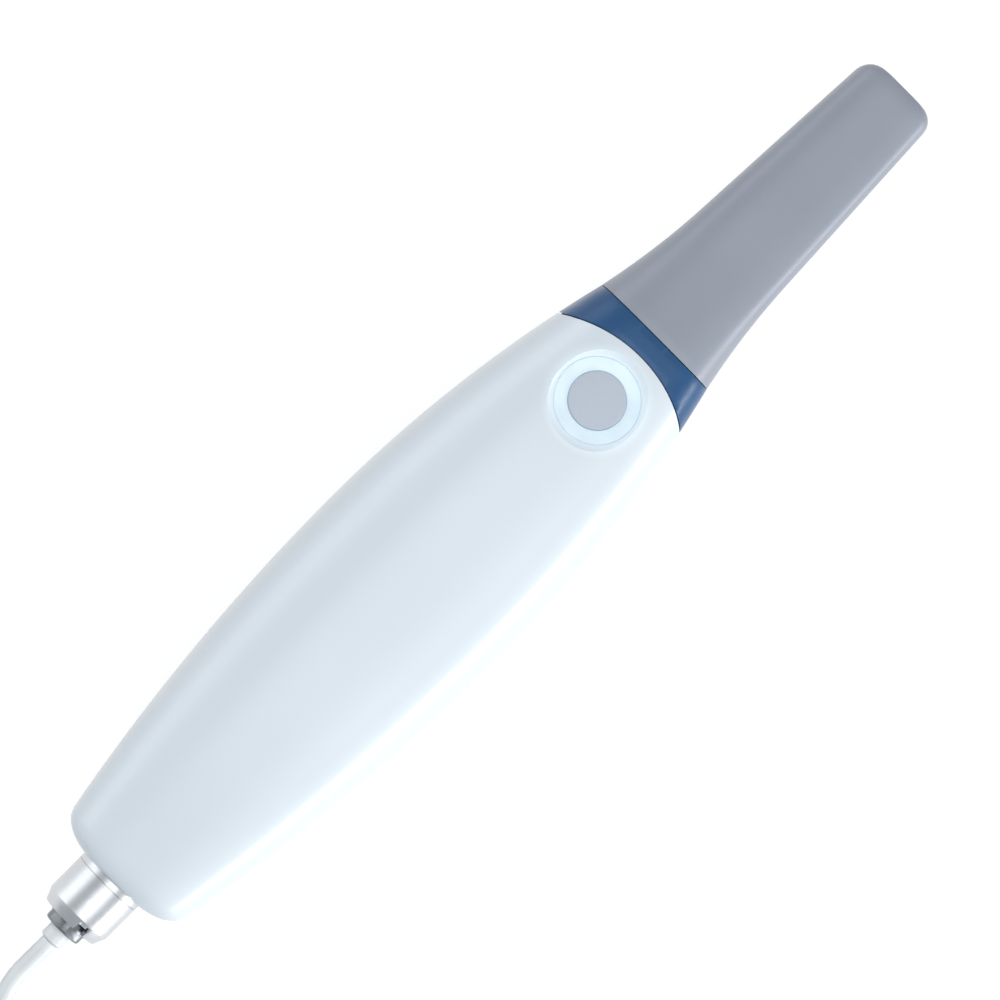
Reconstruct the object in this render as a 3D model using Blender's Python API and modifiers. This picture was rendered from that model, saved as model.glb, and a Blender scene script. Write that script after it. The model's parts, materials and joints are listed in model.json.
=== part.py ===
"""Handheld intraoral scanner, lying on its belly with the scan button up.

The handle is two moulded shells round a metal chassis that carries the optics and the boards. A blue
collar closes their front. A hollow snout runs forward from the chassis into a sleeve tip, whose mirror
turns the view down through a window. A push-pull plug with a coiled lead goes into the rear wall.

Metres, +X towards the tip, +Z up through the button. The origin is the middle of the flat land under
the belly, which is also the handle's widest station. Run with: blender --background --python part.py
"""

import math

import bmesh
import bpy
from mathutils import Matrix, Vector

GAP = 0.0003  # between pieces that touch
SIDES = 36  # points round each lofted section
PITCH = 0.0110  # between the stations along the handle's outer faces
LONG_PITCH = 0.0200  # along its inner, unseen faces
COLLAR_PITCH = 0.0055

# The handle's outline. Each half-size swells from the ends to the widest station as a parabola.
HANDLE_REAR = 0.0930  # widest station to the rear face
HANDLE_FRONT = 0.0748  # widest station to the tip's seat
HALF_WIDTH = 0.0252
REAR_HALF_WIDTH = 0.0161
FRONT_HALF_WIDTH = 0.0161
CROWN = 0.0220  # axis to the top
REAR_CROWN = 0.0130
FRONT_CROWN = 0.0150
BELLY = 0.0244  # axis to the bottom, before the land is cut flat
REAR_BELLY = 0.0135
FRONT_BELLY = 0.0132
LAND_CUT = 0.0014  # how much of the belly the flat land takes off
CROWN_POWER = 2.8  # squareness of the section above the axis
BELLY_POWER = 2.3  # and below it
REAR_ROUND = 0.0040
WALL = 0.0022
AXIS_Z = BELLY - LAND_CUT

# The halves' lapped joint, at the height of the axis.
LAP_HEIGHT = 0.0015
LAP_WALL = 0.0010  # the lower shell's tongue

# The collar, whose rear edge is an arc that curves round the button.
SEAM_X = 0.0695  # the arc's foremost point
SEAM_R = 0.0380
SEAM_SIDES = 96
SPIGOT_DEPTH = 0.0020
SPIGOT_WALL = 0.0014
COLLAR_FACE = 0.0030

# The tip, a tapered sleeve with a flare at its base.
TIP_LENGTH = 0.0767
TIP_BASE_HALF = 0.0138
TIP_END_HALF = 0.0099
TIP_BASE_CROWN = 0.0127
TIP_END_CROWN = 0.0085
TIP_BASE_BELLY = 0.0109
TIP_END_BELLY = 0.0085
TIP_FLARE = 0.0023
TIP_FLARE_LENGTH = 0.0280
TIP_POWER = 3.2
TIP_WALL = 0.0015
TIP_ROUND = 0.0038

# The mirror and the scanning window under it.
MIRROR_FROM_END = 0.0132  # the tip's end to the middle of the reflecting face
MIRROR_X = HANDLE_FRONT + TIP_LENGTH - MIRROR_FROM_END
MIRROR_RISE = 0.0120
MIRROR_HALF_WIDTH = 0.0062
MIRROR_THICK = 0.0010
WINDOW_LENGTH = 0.0155
WINDOW_HALF_WIDTH = 0.0070
WINDOW_CORNER = 0.0020

# The snout, a nose that the tip slides over.
SNOUT_LENGTH = 0.0557
SNOUT_BASE = 0.0100  # how far its flange lies behind the tip's seat
SNOUT_PLAY = 0.0004
SNOUT_WALL = 0.0013
SNOUT_FLANGE = 0.0020
SNOUT_FLANGE_RIM = 0.0011
PANE_THICK = 0.0012
PANE_REBATE = 0.0006
GRIP_FROM_SEAT = 0.0040  # grip ring's place inside the tip
GRIP_WIDTH = 0.0020
GRIP_DEPTH = 0.0006
SNOUT_SCREWS = ((0.0098, 0.0084), (-0.0098, 0.0084))

# The button, in a well that leans with the crown.
BUTTON_X = 0.0559
BUTTON_R = 0.00645
RING_R = 0.0094
RING_BORE_PLAY = 0.0003
DISH_R = 0.0113
DISH_DEPTH = 0.0010
DISH_FALL = 0.00035  # the ring's slope towards the button
RING_SEAT = 0.0017  # thickness of the ring's rim
RING_SLEEVE = 0.0014  # how far its light guide reaches below the rim
SLEEVE_WALL = 0.0011
WELL_WALL = 0.0012
WELL_FLOOR = 0.0013
BUTTON_TRAVEL = 0.0008
BUTTON_DOME = 0.00015
BUTTON_FLANGE = 0.0008
BUTTON_FLANGE_R = 0.0077
BUTTON_SKIN = 0.0012
SPRING_R = 0.0040
SPRING_WIRE = 0.0004
SPRING_TURNS = 4
SPRING_STEPS = 10  # straight pieces in each turn
SWITCH_SIZE = 0.0045
SWITCH_HEIGHT = 0.0010
BUTTON_BOARD_LENGTH = 0.0090
BUTTON_BOARD_WIDTH = 0.0230
BOARD_THICK = 0.0012
POST_R = 0.0015
POST_AT = 0.0096

# The chassis and what it carries.
PLATE_THICK = 0.0018
PLATE_REAR = -0.0760
PLATE_HALF_WIDTH = 0.0120
RAIL_HEIGHT = 0.0022
RAIL_THICK = 0.0012
RAIL_FRONT = 0.0180
BULKHEAD_THICK = 0.0030
BULKHEAD_TOP = 0.0106  # above the axis
BULKHEAD_HALF_WIDTH = 0.0120
BOSS_R = 0.0028
BOSS_AT = ((-0.0600, 0.0086), (-0.0600, -0.0086), (0.0240, 0.0086), (0.0240, -0.0086))
SCREW_R = 0.00085
SCREW_HEAD_R = 0.0016
SCREW_HEAD = 0.0014
SCREW_LENGTH = 0.0070
BUTTON_SCREW_LENGTH = 0.0035
SCREW_PLAY = 0.0003

# The optics.
CUBE = 0.0100
CUBE_X = 0.0405
BARREL_R = 0.0062
BARREL_BORE = 0.0050
BARREL_LENGTH = 0.0400
BARREL_FLANGE_R = 0.0078
BARREL_FLANGE = 0.0024
LENS_THICK = 0.0026
LENS_INSET = 0.0030
CAMERA_BARREL_R = 0.0045
CAMERA_BARREL = 0.0046
SENSOR = 0.0080
SENSOR_THICK = 0.0015
CAMERA_BOARD = 0.0140
PROJECTOR_R = 0.0050
PROJECTOR_BARREL = 0.0070
LED_BOARD = 0.0120
LED_SIZE = 0.0040
LED_THICK = 0.0010
SINK_DEPTH = 0.0040
SINK_FINS = 5

# The main board.
BOARD_REAR = -0.0740
BOARD_FRONT = 0.0160
BOARD_HALF_WIDTH = 0.0112
BOARD_LIFT = 0.0027  # above the chassis plate
STANDOFF_R = 0.0018
STANDOFF_INSET = 0.0030
CHIP = 0.0140
CHIP_THICK = 0.0012
CHIP_X = -0.0250
COOLER = 0.0200
COOLER_HEIGHT = 0.0070
COOLER_FINS = 6
HEADER_LENGTH = 0.0050
HEADER_WIDTH = 0.0100
HEADER_HEIGHT = 0.0040
FLEX_WIDTH = 0.0060
FLEX_THICK = 0.0003

# The rear socket and its plug.
PLUG_R = 0.00835
SOCKET_R = 0.0060
SOCKET_BORE = 0.0049
SOCKET_LENGTH = 0.0125
SOCKET_FLANGE = 0.0012
SOCKET_NUT_R = 0.0085
SOCKET_NUT = 0.0024
SLEEVE_LENGTH = 0.0116
SLEEVE_SHELL = 0.00145
SLEEVE_END = 0.0013
SLEEVE_CHAMFER = 0.0028
SLEEVE_CHAMFER_IN = 0.0012
SLOT_WIDTH = 0.0030
SLOT_DEPTH = 0.0024
SLOT_TURN = math.radians(21)  # from the top, round to the right
NOSE_LENGTH = 0.0095
NOSE_WALL = 0.0012
CONTACT_LENGTH = 0.0060
NUT_R = 0.0049
NUT_SHOWS = 0.0026
NUT_FLATS = 6
NUT_FLAT_AT = 0.927  # how far out the flats lie, as a share of the nut's radius
RELIEF_R = 0.00275
RELIEF_SHOWS = 0.0033

# The lead: a tube to the coil, the coil as one ring, and the tail with its plug.
CABLE_R = 0.0020
CABLE_STRAIGHT = 0.0080
TURN_PITCH = 0.00415
TURNS_ACROSS = 4
TURN_LAYERS = 5
COIL_R = 0.0230  # middle of the turns
COIL_X = -0.1660
COIL_Y = 0.0040
LEAD_COLUMN = 2  # the turn that the lead runs into, counted from the innermost as 0
TIE_THICK = 0.0009
TIE_WIDTH = 0.0060
COIL_BASE = TIE_THICK + GAP
USB_BODY = (0.0220, 0.0150, 0.0078)
USB_SHELL = (0.0140, 0.0120, 0.0045)
USB_SHEET = 0.0006
TAIL_LENGTH = 0.0260  # from the coil's middle to the plug


def collection(name):
    found = bpy.data.collections.new(name)
    bpy.context.scene.collection.children.link(found)
    return found


def start():
    for old in list(bpy.data.objects):
        bpy.data.objects.remove(old)
    return collection("intraoral_scanner"), collection("cutters")


PIECES, CUTTERS = start()


def finish(name, colour, roughness, metallic=0.0):
    made = bpy.data.materials.new(name)
    made.use_nodes = True
    shader = made.node_tree.nodes["Principled BSDF"]
    shader.inputs["Base Color"].default_value = (*colour, 1)
    shader.inputs["Roughness"].default_value = roughness
    shader.inputs["Metallic"].default_value = metallic
    return made


WHITE = finish("white_shell", (0.70, 0.77, 0.83), 0.28)
BLUE = finish("blue_collar", (0.03, 0.09, 0.22), 0.35)
GREY = finish("tip_grey", (0.32, 0.35, 0.41), 0.42)
BUTTON_GREY = finish("button_grey", (0.48, 0.54, 0.62), 0.45)
LIGHT = finish("light_guide", (0.80, 0.93, 1.00), 0.30)
STEEL = finish("plug_steel", (0.62, 0.64, 0.66), 0.25, 1.0)
DARK_STEEL = finish("dark_steel", (0.35, 0.36, 0.38), 0.35, 1.0)
ALUMINIUM = finish("chassis_aluminium", (0.60, 0.61, 0.63), 0.45, 1.0)
BLACK = finish("black_plastic", (0.02, 0.02, 0.022), 0.50)
RUBBER = finish("rubber", (0.03, 0.03, 0.03), 0.80)
GLASS = finish("glass", (0.85, 0.92, 0.95), 0.05)
MIRROR = finish("mirror", (0.90, 0.92, 0.93), 0.03, 1.0)
GREEN = finish("circuit_board", (0.02, 0.16, 0.07), 0.45)
CHIP_BLACK = finish("chip_black", (0.03, 0.03, 0.035), 0.40)
CABLE_WHITE = finish("cable_white", (0.66, 0.71, 0.74), 0.45)


def link(name, mesh, home, material=None):
    """A new object in its collection. Cutters are kept out of the render."""
    made = bpy.data.objects.new(name, mesh)
    home.objects.link(made)
    if home is CUTTERS:
        made.hide_render = True
        made.display_type = "WIRE"
    if material:
        mesh.materials.append(material)
    return made


def to_mesh(name, bm):
    mesh = bpy.data.meshes.new(name)
    bm.to_mesh(mesh)
    bm.free()
    return mesh


def boolean(piece, other, operation="DIFFERENCE"):
    step = piece.modifiers.new(other.name, "BOOLEAN")
    step.operation = operation
    step.solver = "EXACT"
    step.object = other
    return piece


def bevel(piece, width, segments=2, angle=40):
    step = piece.modifiers.new("edges", "BEVEL")
    step.width = width
    step.segments = segments
    step.limit_method = "ANGLE"
    step.angle_limit = math.radians(angle)
    return piece


def block(name, size, centre, material=None, home=PIECES, edge=0.0, place=None):
    """A box of this size, placed by its centre, in the space that place gives."""
    bm = bmesh.new()
    bmesh.ops.create_cube(bm, size=1.0, matrix=Matrix.Diagonal((*size, 1)))
    made = link(name, to_mesh(name, bm), home, material)
    made.matrix_world = (place or Matrix()) @ Matrix.Translation(centre)
    return bevel(made, edge) if edge else made


def rod(name, radius, start_at, end_at, material=None, home=PIECES, sides=24, place=None):
    """A cylinder between two points on one line."""
    start_at, end_at = Vector(start_at), Vector(end_at)
    along = end_at - start_at
    bm = bmesh.new()
    bmesh.ops.create_cone(
        bm, cap_ends=True, segments=sides, radius1=radius, radius2=radius, depth=along.length
    )
    made = link(name, to_mesh(name, bm), home, material)
    turn = along.to_track_quat("Z", "Y").to_matrix().to_4x4()
    made.matrix_world = (place or Matrix()) @ Matrix.Translation((start_at + end_at) / 2) @ turn
    return made


def turned(name, profile, material=None, home=PIECES, steps=20, closed=True, place=None):
    """A turned shape about its own Z. The profile (radius, height) runs down the outer side first."""
    bm = bmesh.new()
    corners = [bm.verts.new((radius, 0, height)) for radius, height in profile]
    for one, two in zip(corners, corners[1:]):
        bm.edges.new((one, two))
    if closed:
        bm.edges.new((corners[-1], corners[0]))
    made = link(name, to_mesh(name, bm), home, material)
    screw = made.modifiers.new("turn", "SCREW")
    screw.axis = "Z"
    screw.angle = math.tau
    screw.steps = steps
    screw.render_steps = steps
    screw.use_merge_vertices = True
    screw.merge_threshold = 0.00001
    made.matrix_world = place or Matrix()
    return made


def along_x(x, y=0.0, z=AXIS_Z):
    """The place of a turned piece whose own Z points along +X."""
    return Matrix.Translation((x, y, z)) @ Matrix.Rotation(math.pi / 2, 4, "Y")


def loft(name, rings, material=None, home=PIECES):
    """A closed skin through rings of points, capped at both ends."""
    bm = bmesh.new()
    rows = [[bm.verts.new(point) for point in ring] for ring in rings]
    count = len(rows[0])
    for one, two in zip(rows, rows[1:]):
        for k in range(count):
            bm.faces.new((one[k], one[(k + 1) % count], two[(k + 1) % count], two[k]))
    bm.faces.new(rows[0])
    bm.faces.new(rows[-1])
    bmesh.ops.recalc_face_normals(bm, faces=bm.faces)
    return link(name, to_mesh(name, bm), home, material)


def tube(name, points, radius, material, sides=2):
    """A round lead: a poly curve with a bevel and filled caps."""
    curve = bpy.data.curves.new(name, "CURVE")
    curve.dimensions = "3D"
    curve.bevel_depth = radius
    curve.bevel_resolution = sides
    curve.use_fill_caps = True
    line = curve.splines.new("POLY")
    line.points.add(len(points) - 1)
    for spot, point in zip(line.points, points):
        spot.co = (*point, 1)
    return link(name, curve, PIECES, material)


def superellipse(half_width, crown, belly, crown_power, belly_power):
    """Points (y, z) round a section about its axis."""
    points = []
    for k in range(SIDES):
        turn = math.tau * k / SIDES
        across, up = math.cos(turn), math.sin(turn)
        height, power = (crown, crown_power) if up >= 0 else (belly, belly_power)
        points.append(
            (
                half_width * math.copysign(abs(across) ** (2 / power), across),
                height * math.copysign(abs(up) ** (2 / power), up),
            )
        )
    return points


def ease(share):
    """A smooth step from 0 to 1."""
    return (1 - math.cos(math.pi * min(max(share, 0.0), 1.0))) / 2


def swell(x, most, rear, front):
    reach, edge = (HANDLE_REAR, rear) if x < 0 else (HANDLE_FRONT, front)
    return most - (most - edge) * (x / reach) ** 2


def round_off(distance, radius):
    """How far a rounded end pulls the outline in, this far from the end."""
    if radius <= 0 or distance >= radius:
        return 0.0
    return radius - math.sqrt(max(radius**2 - (radius - max(distance, 0.0)) ** 2, 0.0))


def handle_ring(x, inset=0.0):
    """The handle's section at a station, pulled in by inset. The land stays flat."""
    pull = inset + round_off(x + HANDLE_REAR - inset, REAR_ROUND - inset)
    section = superellipse(
        swell(x, HALF_WIDTH, REAR_HALF_WIDTH, FRONT_HALF_WIDTH) - pull,
        swell(x, CROWN, REAR_CROWN, FRONT_CROWN) - pull,
        swell(x, BELLY, REAR_BELLY, FRONT_BELLY) - pull,
        CROWN_POWER,
        BELLY_POWER,
    )
    return [(x, y, max(AXIS_Z + z, inset)) for y, z in section]


def stations(first, last, pitch, rear_round=0.0, front_round=0.0):
    """Places along X: close together on the rounded ends, a pitch apart between them."""
    steps = (0.0, 0.15, 0.5)
    rear = [first + rear_round * step for step in steps] if rear_round > 0 else []
    front = [last - front_round * step for step in reversed(steps)] if front_round > 0 else []
    low, high = first + max(rear_round, 0.0), last - max(front_round, 0.0)
    count = max(1, round((high - low) / pitch))
    return rear + [low + (high - low) * k / count for k in range(count + 1)] + front


def handle_loft(name, inset, first, last, pitch=PITCH, material=None, home=CUTTERS):
    rear_round = REAR_ROUND - inset if first <= -HANDLE_REAR + inset else 0.0
    places = stations(first, last, pitch, rear_round)
    return loft(name, [handle_ring(x, inset) for x in places], material, home)


def tip_half_sizes(x, flared=True):
    """The tip's half-width, crown and belly at a station, and the powers of its section."""
    along = min(max((x - HANDLE_FRONT) / TIP_LENGTH, 0.0), 1.0)
    beyond = max(x - HANDLE_FRONT, 0.0)
    flare = TIP_FLARE * max(1 - beyond / TIP_FLARE_LENGTH, 0.0) ** 2 if flared else 0.0
    sizes = [
        base + (end - base) * along + flare
        for base, end in (
            (TIP_BASE_HALF, TIP_END_HALF),
            (TIP_BASE_CROWN, TIP_END_CROWN),
            (TIP_BASE_BELLY, TIP_END_BELLY),
        )
    ]
    square = min(beyond / TIP_FLARE_LENGTH, 1.0) if flared else 1.0
    powers = [start + (TIP_POWER - start) * square for start in (CROWN_POWER, BELLY_POWER)]
    return sizes, powers


def tip_ring(x, inset=0.0, flared=True, end_round=0.0):
    sizes, powers = tip_half_sizes(x, flared)
    pull = inset + round_off(HANDLE_FRONT + TIP_LENGTH - inset - x, end_round)
    section = superellipse(*[size - pull for size in sizes], *powers)
    return [(x, y, AXIS_Z + z) for y, z in section]


SPREAD = 0.4  # size of the cutters that stand for half of space


def half_space(name, origin, turn):
    """A large box with one face through origin, ahead of it along its own X."""
    place = Matrix.Translation(origin) @ Matrix.Rotation(turn, 4, "Y")
    return block(name, (SPREAD, SPREAD, SPREAD), (SPREAD / 2, 0, 0), home=CUTTERS, place=place)


def crown_slope(x):
    return -2 * (CROWN - FRONT_CROWN) * x / HANDLE_FRONT**2


# The button's own space: its Z is the crown's normal, and its origin lies on the crown.
BUTTON_PLACE = Matrix.Translation(
    (BUTTON_X, 0, AXIS_Z + swell(BUTTON_X, CROWN, REAR_CROWN, FRONT_CROWN))
) @ Matrix.Rotation(-math.atan(crown_slope(BUTTON_X)), 4, "Y")

RING_TOP = -DISH_DEPTH
RING_UNDER = RING_TOP - RING_SEAT
RING_FOOT = RING_UNDER - RING_SLEEVE
RING_INNER_R = BUTTON_R + GAP
SLEEVE_R = RING_INNER_R + SLEEVE_WALL
WELL_R = RING_R + RING_BORE_PLAY + WELL_WALL
WELL_FOOT = RING_UNDER - GAP - WELL_FLOOR
FLANGE_TOP = RING_FOOT - GAP
FLANGE_FOOT = FLANGE_TOP - BUTTON_FLANGE
BUTTON_BOARD_TOP = FLANGE_FOOT - BUTTON_TRAVEL - 2 * GAP


def rear_bore():
    return rod(
        "rear_bore",
        SOCKET_R + GAP,
        (-HANDLE_REAR - WALL, 0, AXIS_Z),
        (-HANDLE_REAR + 3 * WALL, 0, AXIS_Z),
        home=CUTTERS,
        sides=32,
    )


def seam_drum(name, offset):
    """A tall cylinder whose front is the collar's curved rear edge, moved forward by offset."""
    middle = SEAM_X - SEAM_R
    return rod(
        name,
        SEAM_R + offset,
        (middle, 0, -SPREAD),
        (middle, 0, SPREAD),
        home=CUTTERS,
        sides=SEAM_SIDES,
    )


def seam_front(name):
    """All that lies ahead of the curved edge."""
    middle = SEAM_X - SEAM_R + SPREAD / 2
    ahead = block(name, (SPREAD, SPREAD, SPREAD), (middle, 0, 0), home=CUTTERS)
    return boolean(ahead, seam_drum(f"{name}_drum", 0.0))


def upper_shell():
    """The crown half, with the button's dish and well, and posts for the button board."""
    shell = handle_loft("upper_shell", 0.0, -HANDLE_REAR, HANDLE_FRONT, material=WHITE, home=PIECES)
    cavity = handle_loft("upper_cavity", WALL, -HANDLE_REAR + WALL, HANDLE_FRONT + WALL, LONG_PITCH)
    below = half_space("below_joint", (0, 0, AXIS_Z + GAP / 2), math.pi / 2)
    skin = WALL - LAP_WALL - GAP
    rebate = handle_loft("lap_rebate", skin, -HANDLE_REAR + skin, HANDLE_FRONT + WALL, LONG_PITCH)
    above_lap = half_space("above_lap", (0, 0, AXIS_Z + LAP_HEIGHT + GAP), -math.pi / 2)
    boolean(rebate, above_lap)
    boolean(shell, cavity)
    boolean(shell, below)
    boolean(shell, rebate)
    boolean(shell, seam_front("shell_front"))
    well = rod(
        "well",
        WELL_R,
        (0, 0, RING_TOP - GAP),
        (0, 0, WELL_FOOT),
        home=CUTTERS,
        sides=32,
        place=BUTTON_PLACE,
    )
    boolean(shell, well, "UNION")
    for side in (1, -1):
        post = rod(
            f"post_{side}",
            POST_R,
            (0, side * POST_AT, WELL_FOOT + WELL_FLOOR / 2),
            (0, side * POST_AT, BUTTON_BOARD_TOP + GAP),
            home=CUTTERS,
            sides=12,
            place=BUTTON_PLACE,
        )
        boolean(shell, post, "UNION")
    well_bore = turned(
        "well_bore",
        [
            (0.0, DISH_DEPTH),
            (DISH_R + DISH_DEPTH, DISH_DEPTH),
            (DISH_R, 0.0),
            (RING_R + RING_BORE_PLAY, RING_TOP),
            (RING_R + RING_BORE_PLAY, RING_UNDER - GAP),
            (SLEEVE_R + GAP, RING_UNDER - GAP),
            (SLEEVE_R + GAP, WELL_FOOT - WELL_FLOOR),
            (0.0, WELL_FOOT - WELL_FLOOR),
        ],
        home=CUTTERS,
        steps=32,
        closed=False,
        place=BUTTON_PLACE,
    )
    boolean(shell, well_bore)
    for side in (1, -1):
        pilot = rod(
            f"post_hole_{side}",
            SCREW_R + SCREW_PLAY,
            (0, side * POST_AT, WELL_FOOT - GAP),
            (0, side * POST_AT, BUTTON_BOARD_TOP - GAP),
            home=CUTTERS,
            sides=10,
            place=BUTTON_PLACE,
        )
        boolean(shell, pilot)
    boolean(shell, rear_bore())
    return shell


PLATE_TOP = AXIS_Z - CUBE / 2 - GAP
PLATE_FOOT = PLATE_TOP - PLATE_THICK


def lower_shell():
    """The belly half, with its tongue and the four bosses under the chassis."""
    shell = handle_loft("lower_shell", 0.0, -HANDLE_REAR, HANDLE_FRONT, material=WHITE, home=PIECES)
    boolean(shell, half_space("above_joint", (0, 0, AXIS_Z - GAP / 2), -math.pi / 2))
    skin = WALL - LAP_WALL
    tongue = handle_loft("tongue", skin, -HANDLE_REAR + skin, HANDLE_FRONT, LONG_PITCH)
    boolean(tongue, half_space("above_tongue", (0, 0, AXIS_Z + LAP_HEIGHT), -math.pi / 2))
    boolean(shell, tongue, "UNION")
    cavity = handle_loft("lower_cavity", WALL, -HANDLE_REAR + WALL, HANDLE_FRONT + WALL, LONG_PITCH)
    boolean(shell, cavity)
    boolean(shell, seam_front("lower_front"))
    for number, (x, y) in enumerate(BOSS_AT):
        floor = min(z for at, across, z in handle_ring(x, WALL) if abs(across - y) < BOSS_R)
        boss = rod(
            f"boss_{number}",
            BOSS_R,
            (x, y, floor - WALL / 2),
            (x, y, PLATE_FOOT - GAP),
            home=CUTTERS,
            sides=16,
        )
        boolean(shell, boss, "UNION")
        pilot = rod(
            f"boss_hole_{number}",
            SCREW_R + SCREW_PLAY,
            (x, y, PLATE_FOOT - SCREW_LENGTH - GAP),
            (x, y, PLATE_FOOT + GAP),
            home=CUTTERS,
            sides=10,
        )
        boolean(shell, pilot)
    boolean(shell, rear_bore())
    return shell


def collar():
    """The blue ring: flush with the shells, with a spigot inside them and a face that the tip meets."""
    front = HANDLE_FRONT - GAP
    start_x = SEAM_X - FRONT_CROWN
    ring = handle_loft("collar", 0.0, start_x, front, COLLAR_PITCH, BLUE, PIECES)
    boolean(ring, seam_drum("collar_rear", GAP))
    spigot = handle_loft("spigot", WALL + GAP, start_x, front - GAP, COLLAR_PITCH)
    boolean(spigot, seam_drum("spigot_rear", -SPIGOT_DEPTH))
    boolean(ring, spigot, "UNION")
    deep = WALL + GAP + SPIGOT_WALL
    pocket = handle_loft("collar_pocket", deep, start_x - WALL, front - COLLAR_FACE, COLLAR_PITCH)
    boolean(ring, pocket)
    mouth = loft(
        "collar_mouth",
        [snout_ring(x, -GAP) for x in (front - 2 * COLLAR_FACE, front + COLLAR_FACE)],
        home=CUTTERS,
    )
    boolean(ring, mouth)
    return ring


def snout_ring(x, inset=0.0):
    """The snout's section: the tip's bore without its flare, less the play."""
    return tip_ring(x, TIP_WALL + SNOUT_PLAY + inset, flared=False)


SNOUT_REAR = HANDLE_FRONT - SNOUT_BASE
SNOUT_FRONT = SNOUT_REAR + SNOUT_LENGTH
PANE_STEP = PANE_THICK + 2 * GAP


def snout():
    """The hollow nose, with a flange on the bulkhead and a rebate for its pane."""
    nose = loft(
        "snout",
        [snout_ring(x) for x in stations(SNOUT_REAR, SNOUT_FRONT, SNOUT_LENGTH / 2)],
        BLACK,
    )
    flange = loft(
        "snout_rim",
        [snout_ring(x, -SNOUT_FLANGE_RIM) for x in (SNOUT_REAR, SNOUT_REAR + SNOUT_FLANGE)],
        home=CUTTERS,
    )
    boolean(nose, flange, "UNION")
    bore = loft(
        "snout_bore",
        [
            snout_ring(x, SNOUT_WALL)
            for x in stations(SNOUT_REAR - SNOUT_FLANGE, SNOUT_FRONT + PANE_STEP, SNOUT_LENGTH / 2)
        ],
        home=CUTTERS,
    )
    boolean(nose, bore)
    rebate = loft(
        "pane_rebate",
        [snout_ring(x, PANE_REBATE) for x in (SNOUT_FRONT - PANE_STEP, SNOUT_FRONT + PANE_STEP)],
        home=CUTTERS,
    )
    boolean(nose, rebate)
    groove_from = HANDLE_FRONT + GRIP_FROM_SEAT
    groove = loft(
        "grip_groove",
        [snout_ring(x, -TIP_WALL) for x in (groove_from, groove_from + GRIP_WIDTH)],
        home=CUTTERS,
    )
    core = loft(
        "grip_core",
        [
            snout_ring(x, GRIP_DEPTH)
            for x in (groove_from - GRIP_WIDTH, groove_from + 2 * GRIP_WIDTH)
        ],
        home=CUTTERS,
    )
    boolean(groove, core)
    boolean(nose, groove)
    for number, (y, z) in enumerate(SNOUT_SCREWS):
        hole = rod(
            f"flange_hole_{number}",
            SCREW_R + SCREW_PLAY,
            (SNOUT_REAR - GAP, y, AXIS_Z + z),
            (SNOUT_REAR + SNOUT_FLANGE + GAP, y, AXIS_Z + z),
            home=CUTTERS,
            sides=10,
        )
        boolean(nose, hole)
    return nose


def snout_pane():
    first = SNOUT_FRONT - PANE_STEP + GAP
    rings = [snout_ring(x, PANE_REBATE + GAP) for x in (first, first + PANE_THICK)]
    return loft("snout_window", rings, GLASS)


def grip_ring():
    """A rubber band in the snout's groove, just proud enough to hold the tip."""
    first = HANDLE_FRONT + GRIP_FROM_SEAT + GAP
    last = first + GRIP_WIDTH - 2 * GAP
    band = loft("tip_grip_ring", [snout_ring(x, -SNOUT_PLAY / 4) for x in (first, last)], RUBBER)
    core = loft(
        "band_core",
        [snout_ring(x, GRIP_DEPTH - GAP) for x in (first - GRIP_WIDTH, last + GRIP_WIDTH)],
        home=CUTTERS,
    )
    return boolean(band, core)


TIP_END = HANDLE_FRONT + TIP_LENGTH
RAMP_GAP = MIRROR_THICK + GAP


def tip_shell():
    """The sleeve tip: thin walls, a 45 degree ramp for the mirror and a window under it."""
    flare_end = HANDLE_FRONT + TIP_FLARE_LENGTH
    straight = TIP_LENGTH - TIP_FLARE_LENGTH
    places = stations(HANDLE_FRONT, flare_end, TIP_FLARE_LENGTH / 4)
    places += stations(flare_end, TIP_END, straight / 3, 0.0, TIP_ROUND)[1:]
    tip = loft("tip_shell", [tip_ring(x, 0.0, True, TIP_ROUND) for x in places], GREY)
    inner_end = TIP_END - TIP_WALL
    inner = [HANDLE_FRONT - TIP_WALL]
    inner += stations(HANDLE_FRONT, flare_end, TIP_FLARE_LENGTH / 3)
    inner += stations(flare_end, inner_end, straight / 2, 0.0, TIP_ROUND - TIP_WALL)[1:]
    cavity = loft(
        "tip_cavity",
        [tip_ring(x, TIP_WALL, True, TIP_ROUND - TIP_WALL) for x in inner],
        home=CUTTERS,
    )
    normal = Vector((1, 0, 1)).normalized()
    ramp_at = Vector((MIRROR_X, 0, AXIS_Z)) + normal * RAMP_GAP
    boolean(cavity, half_space("ramp", ramp_at, -math.pi / 4))
    boolean(tip, cavity)
    depth = 2 * TIP_END_BELLY
    window = block(
        "scan_window",
        (WINDOW_LENGTH, 2 * WINDOW_HALF_WIDTH, depth),
        (MIRROR_X, 0, AXIS_Z - TIP_END_BELLY + TIP_WALL + GAP - depth / 2),
        home=CUTTERS,
    )
    corner = window.modifiers.new("corners", "BEVEL")
    corner.width = WINDOW_CORNER
    corner.segments = 3
    corner.limit_method = "ANGLE"
    boolean(tip, window)
    return tip


def tip_mirror():
    place = Matrix.Translation((MIRROR_X, 0, AXIS_Z)) @ Matrix.Rotation(math.pi / 4, 4, "Y")
    size = (MIRROR_RISE * math.sqrt(2), 2 * MIRROR_HALF_WIDTH, MIRROR_THICK)
    return block("tip_mirror", size, (0, 0, MIRROR_THICK / 2), MIRROR, place=place)


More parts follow.
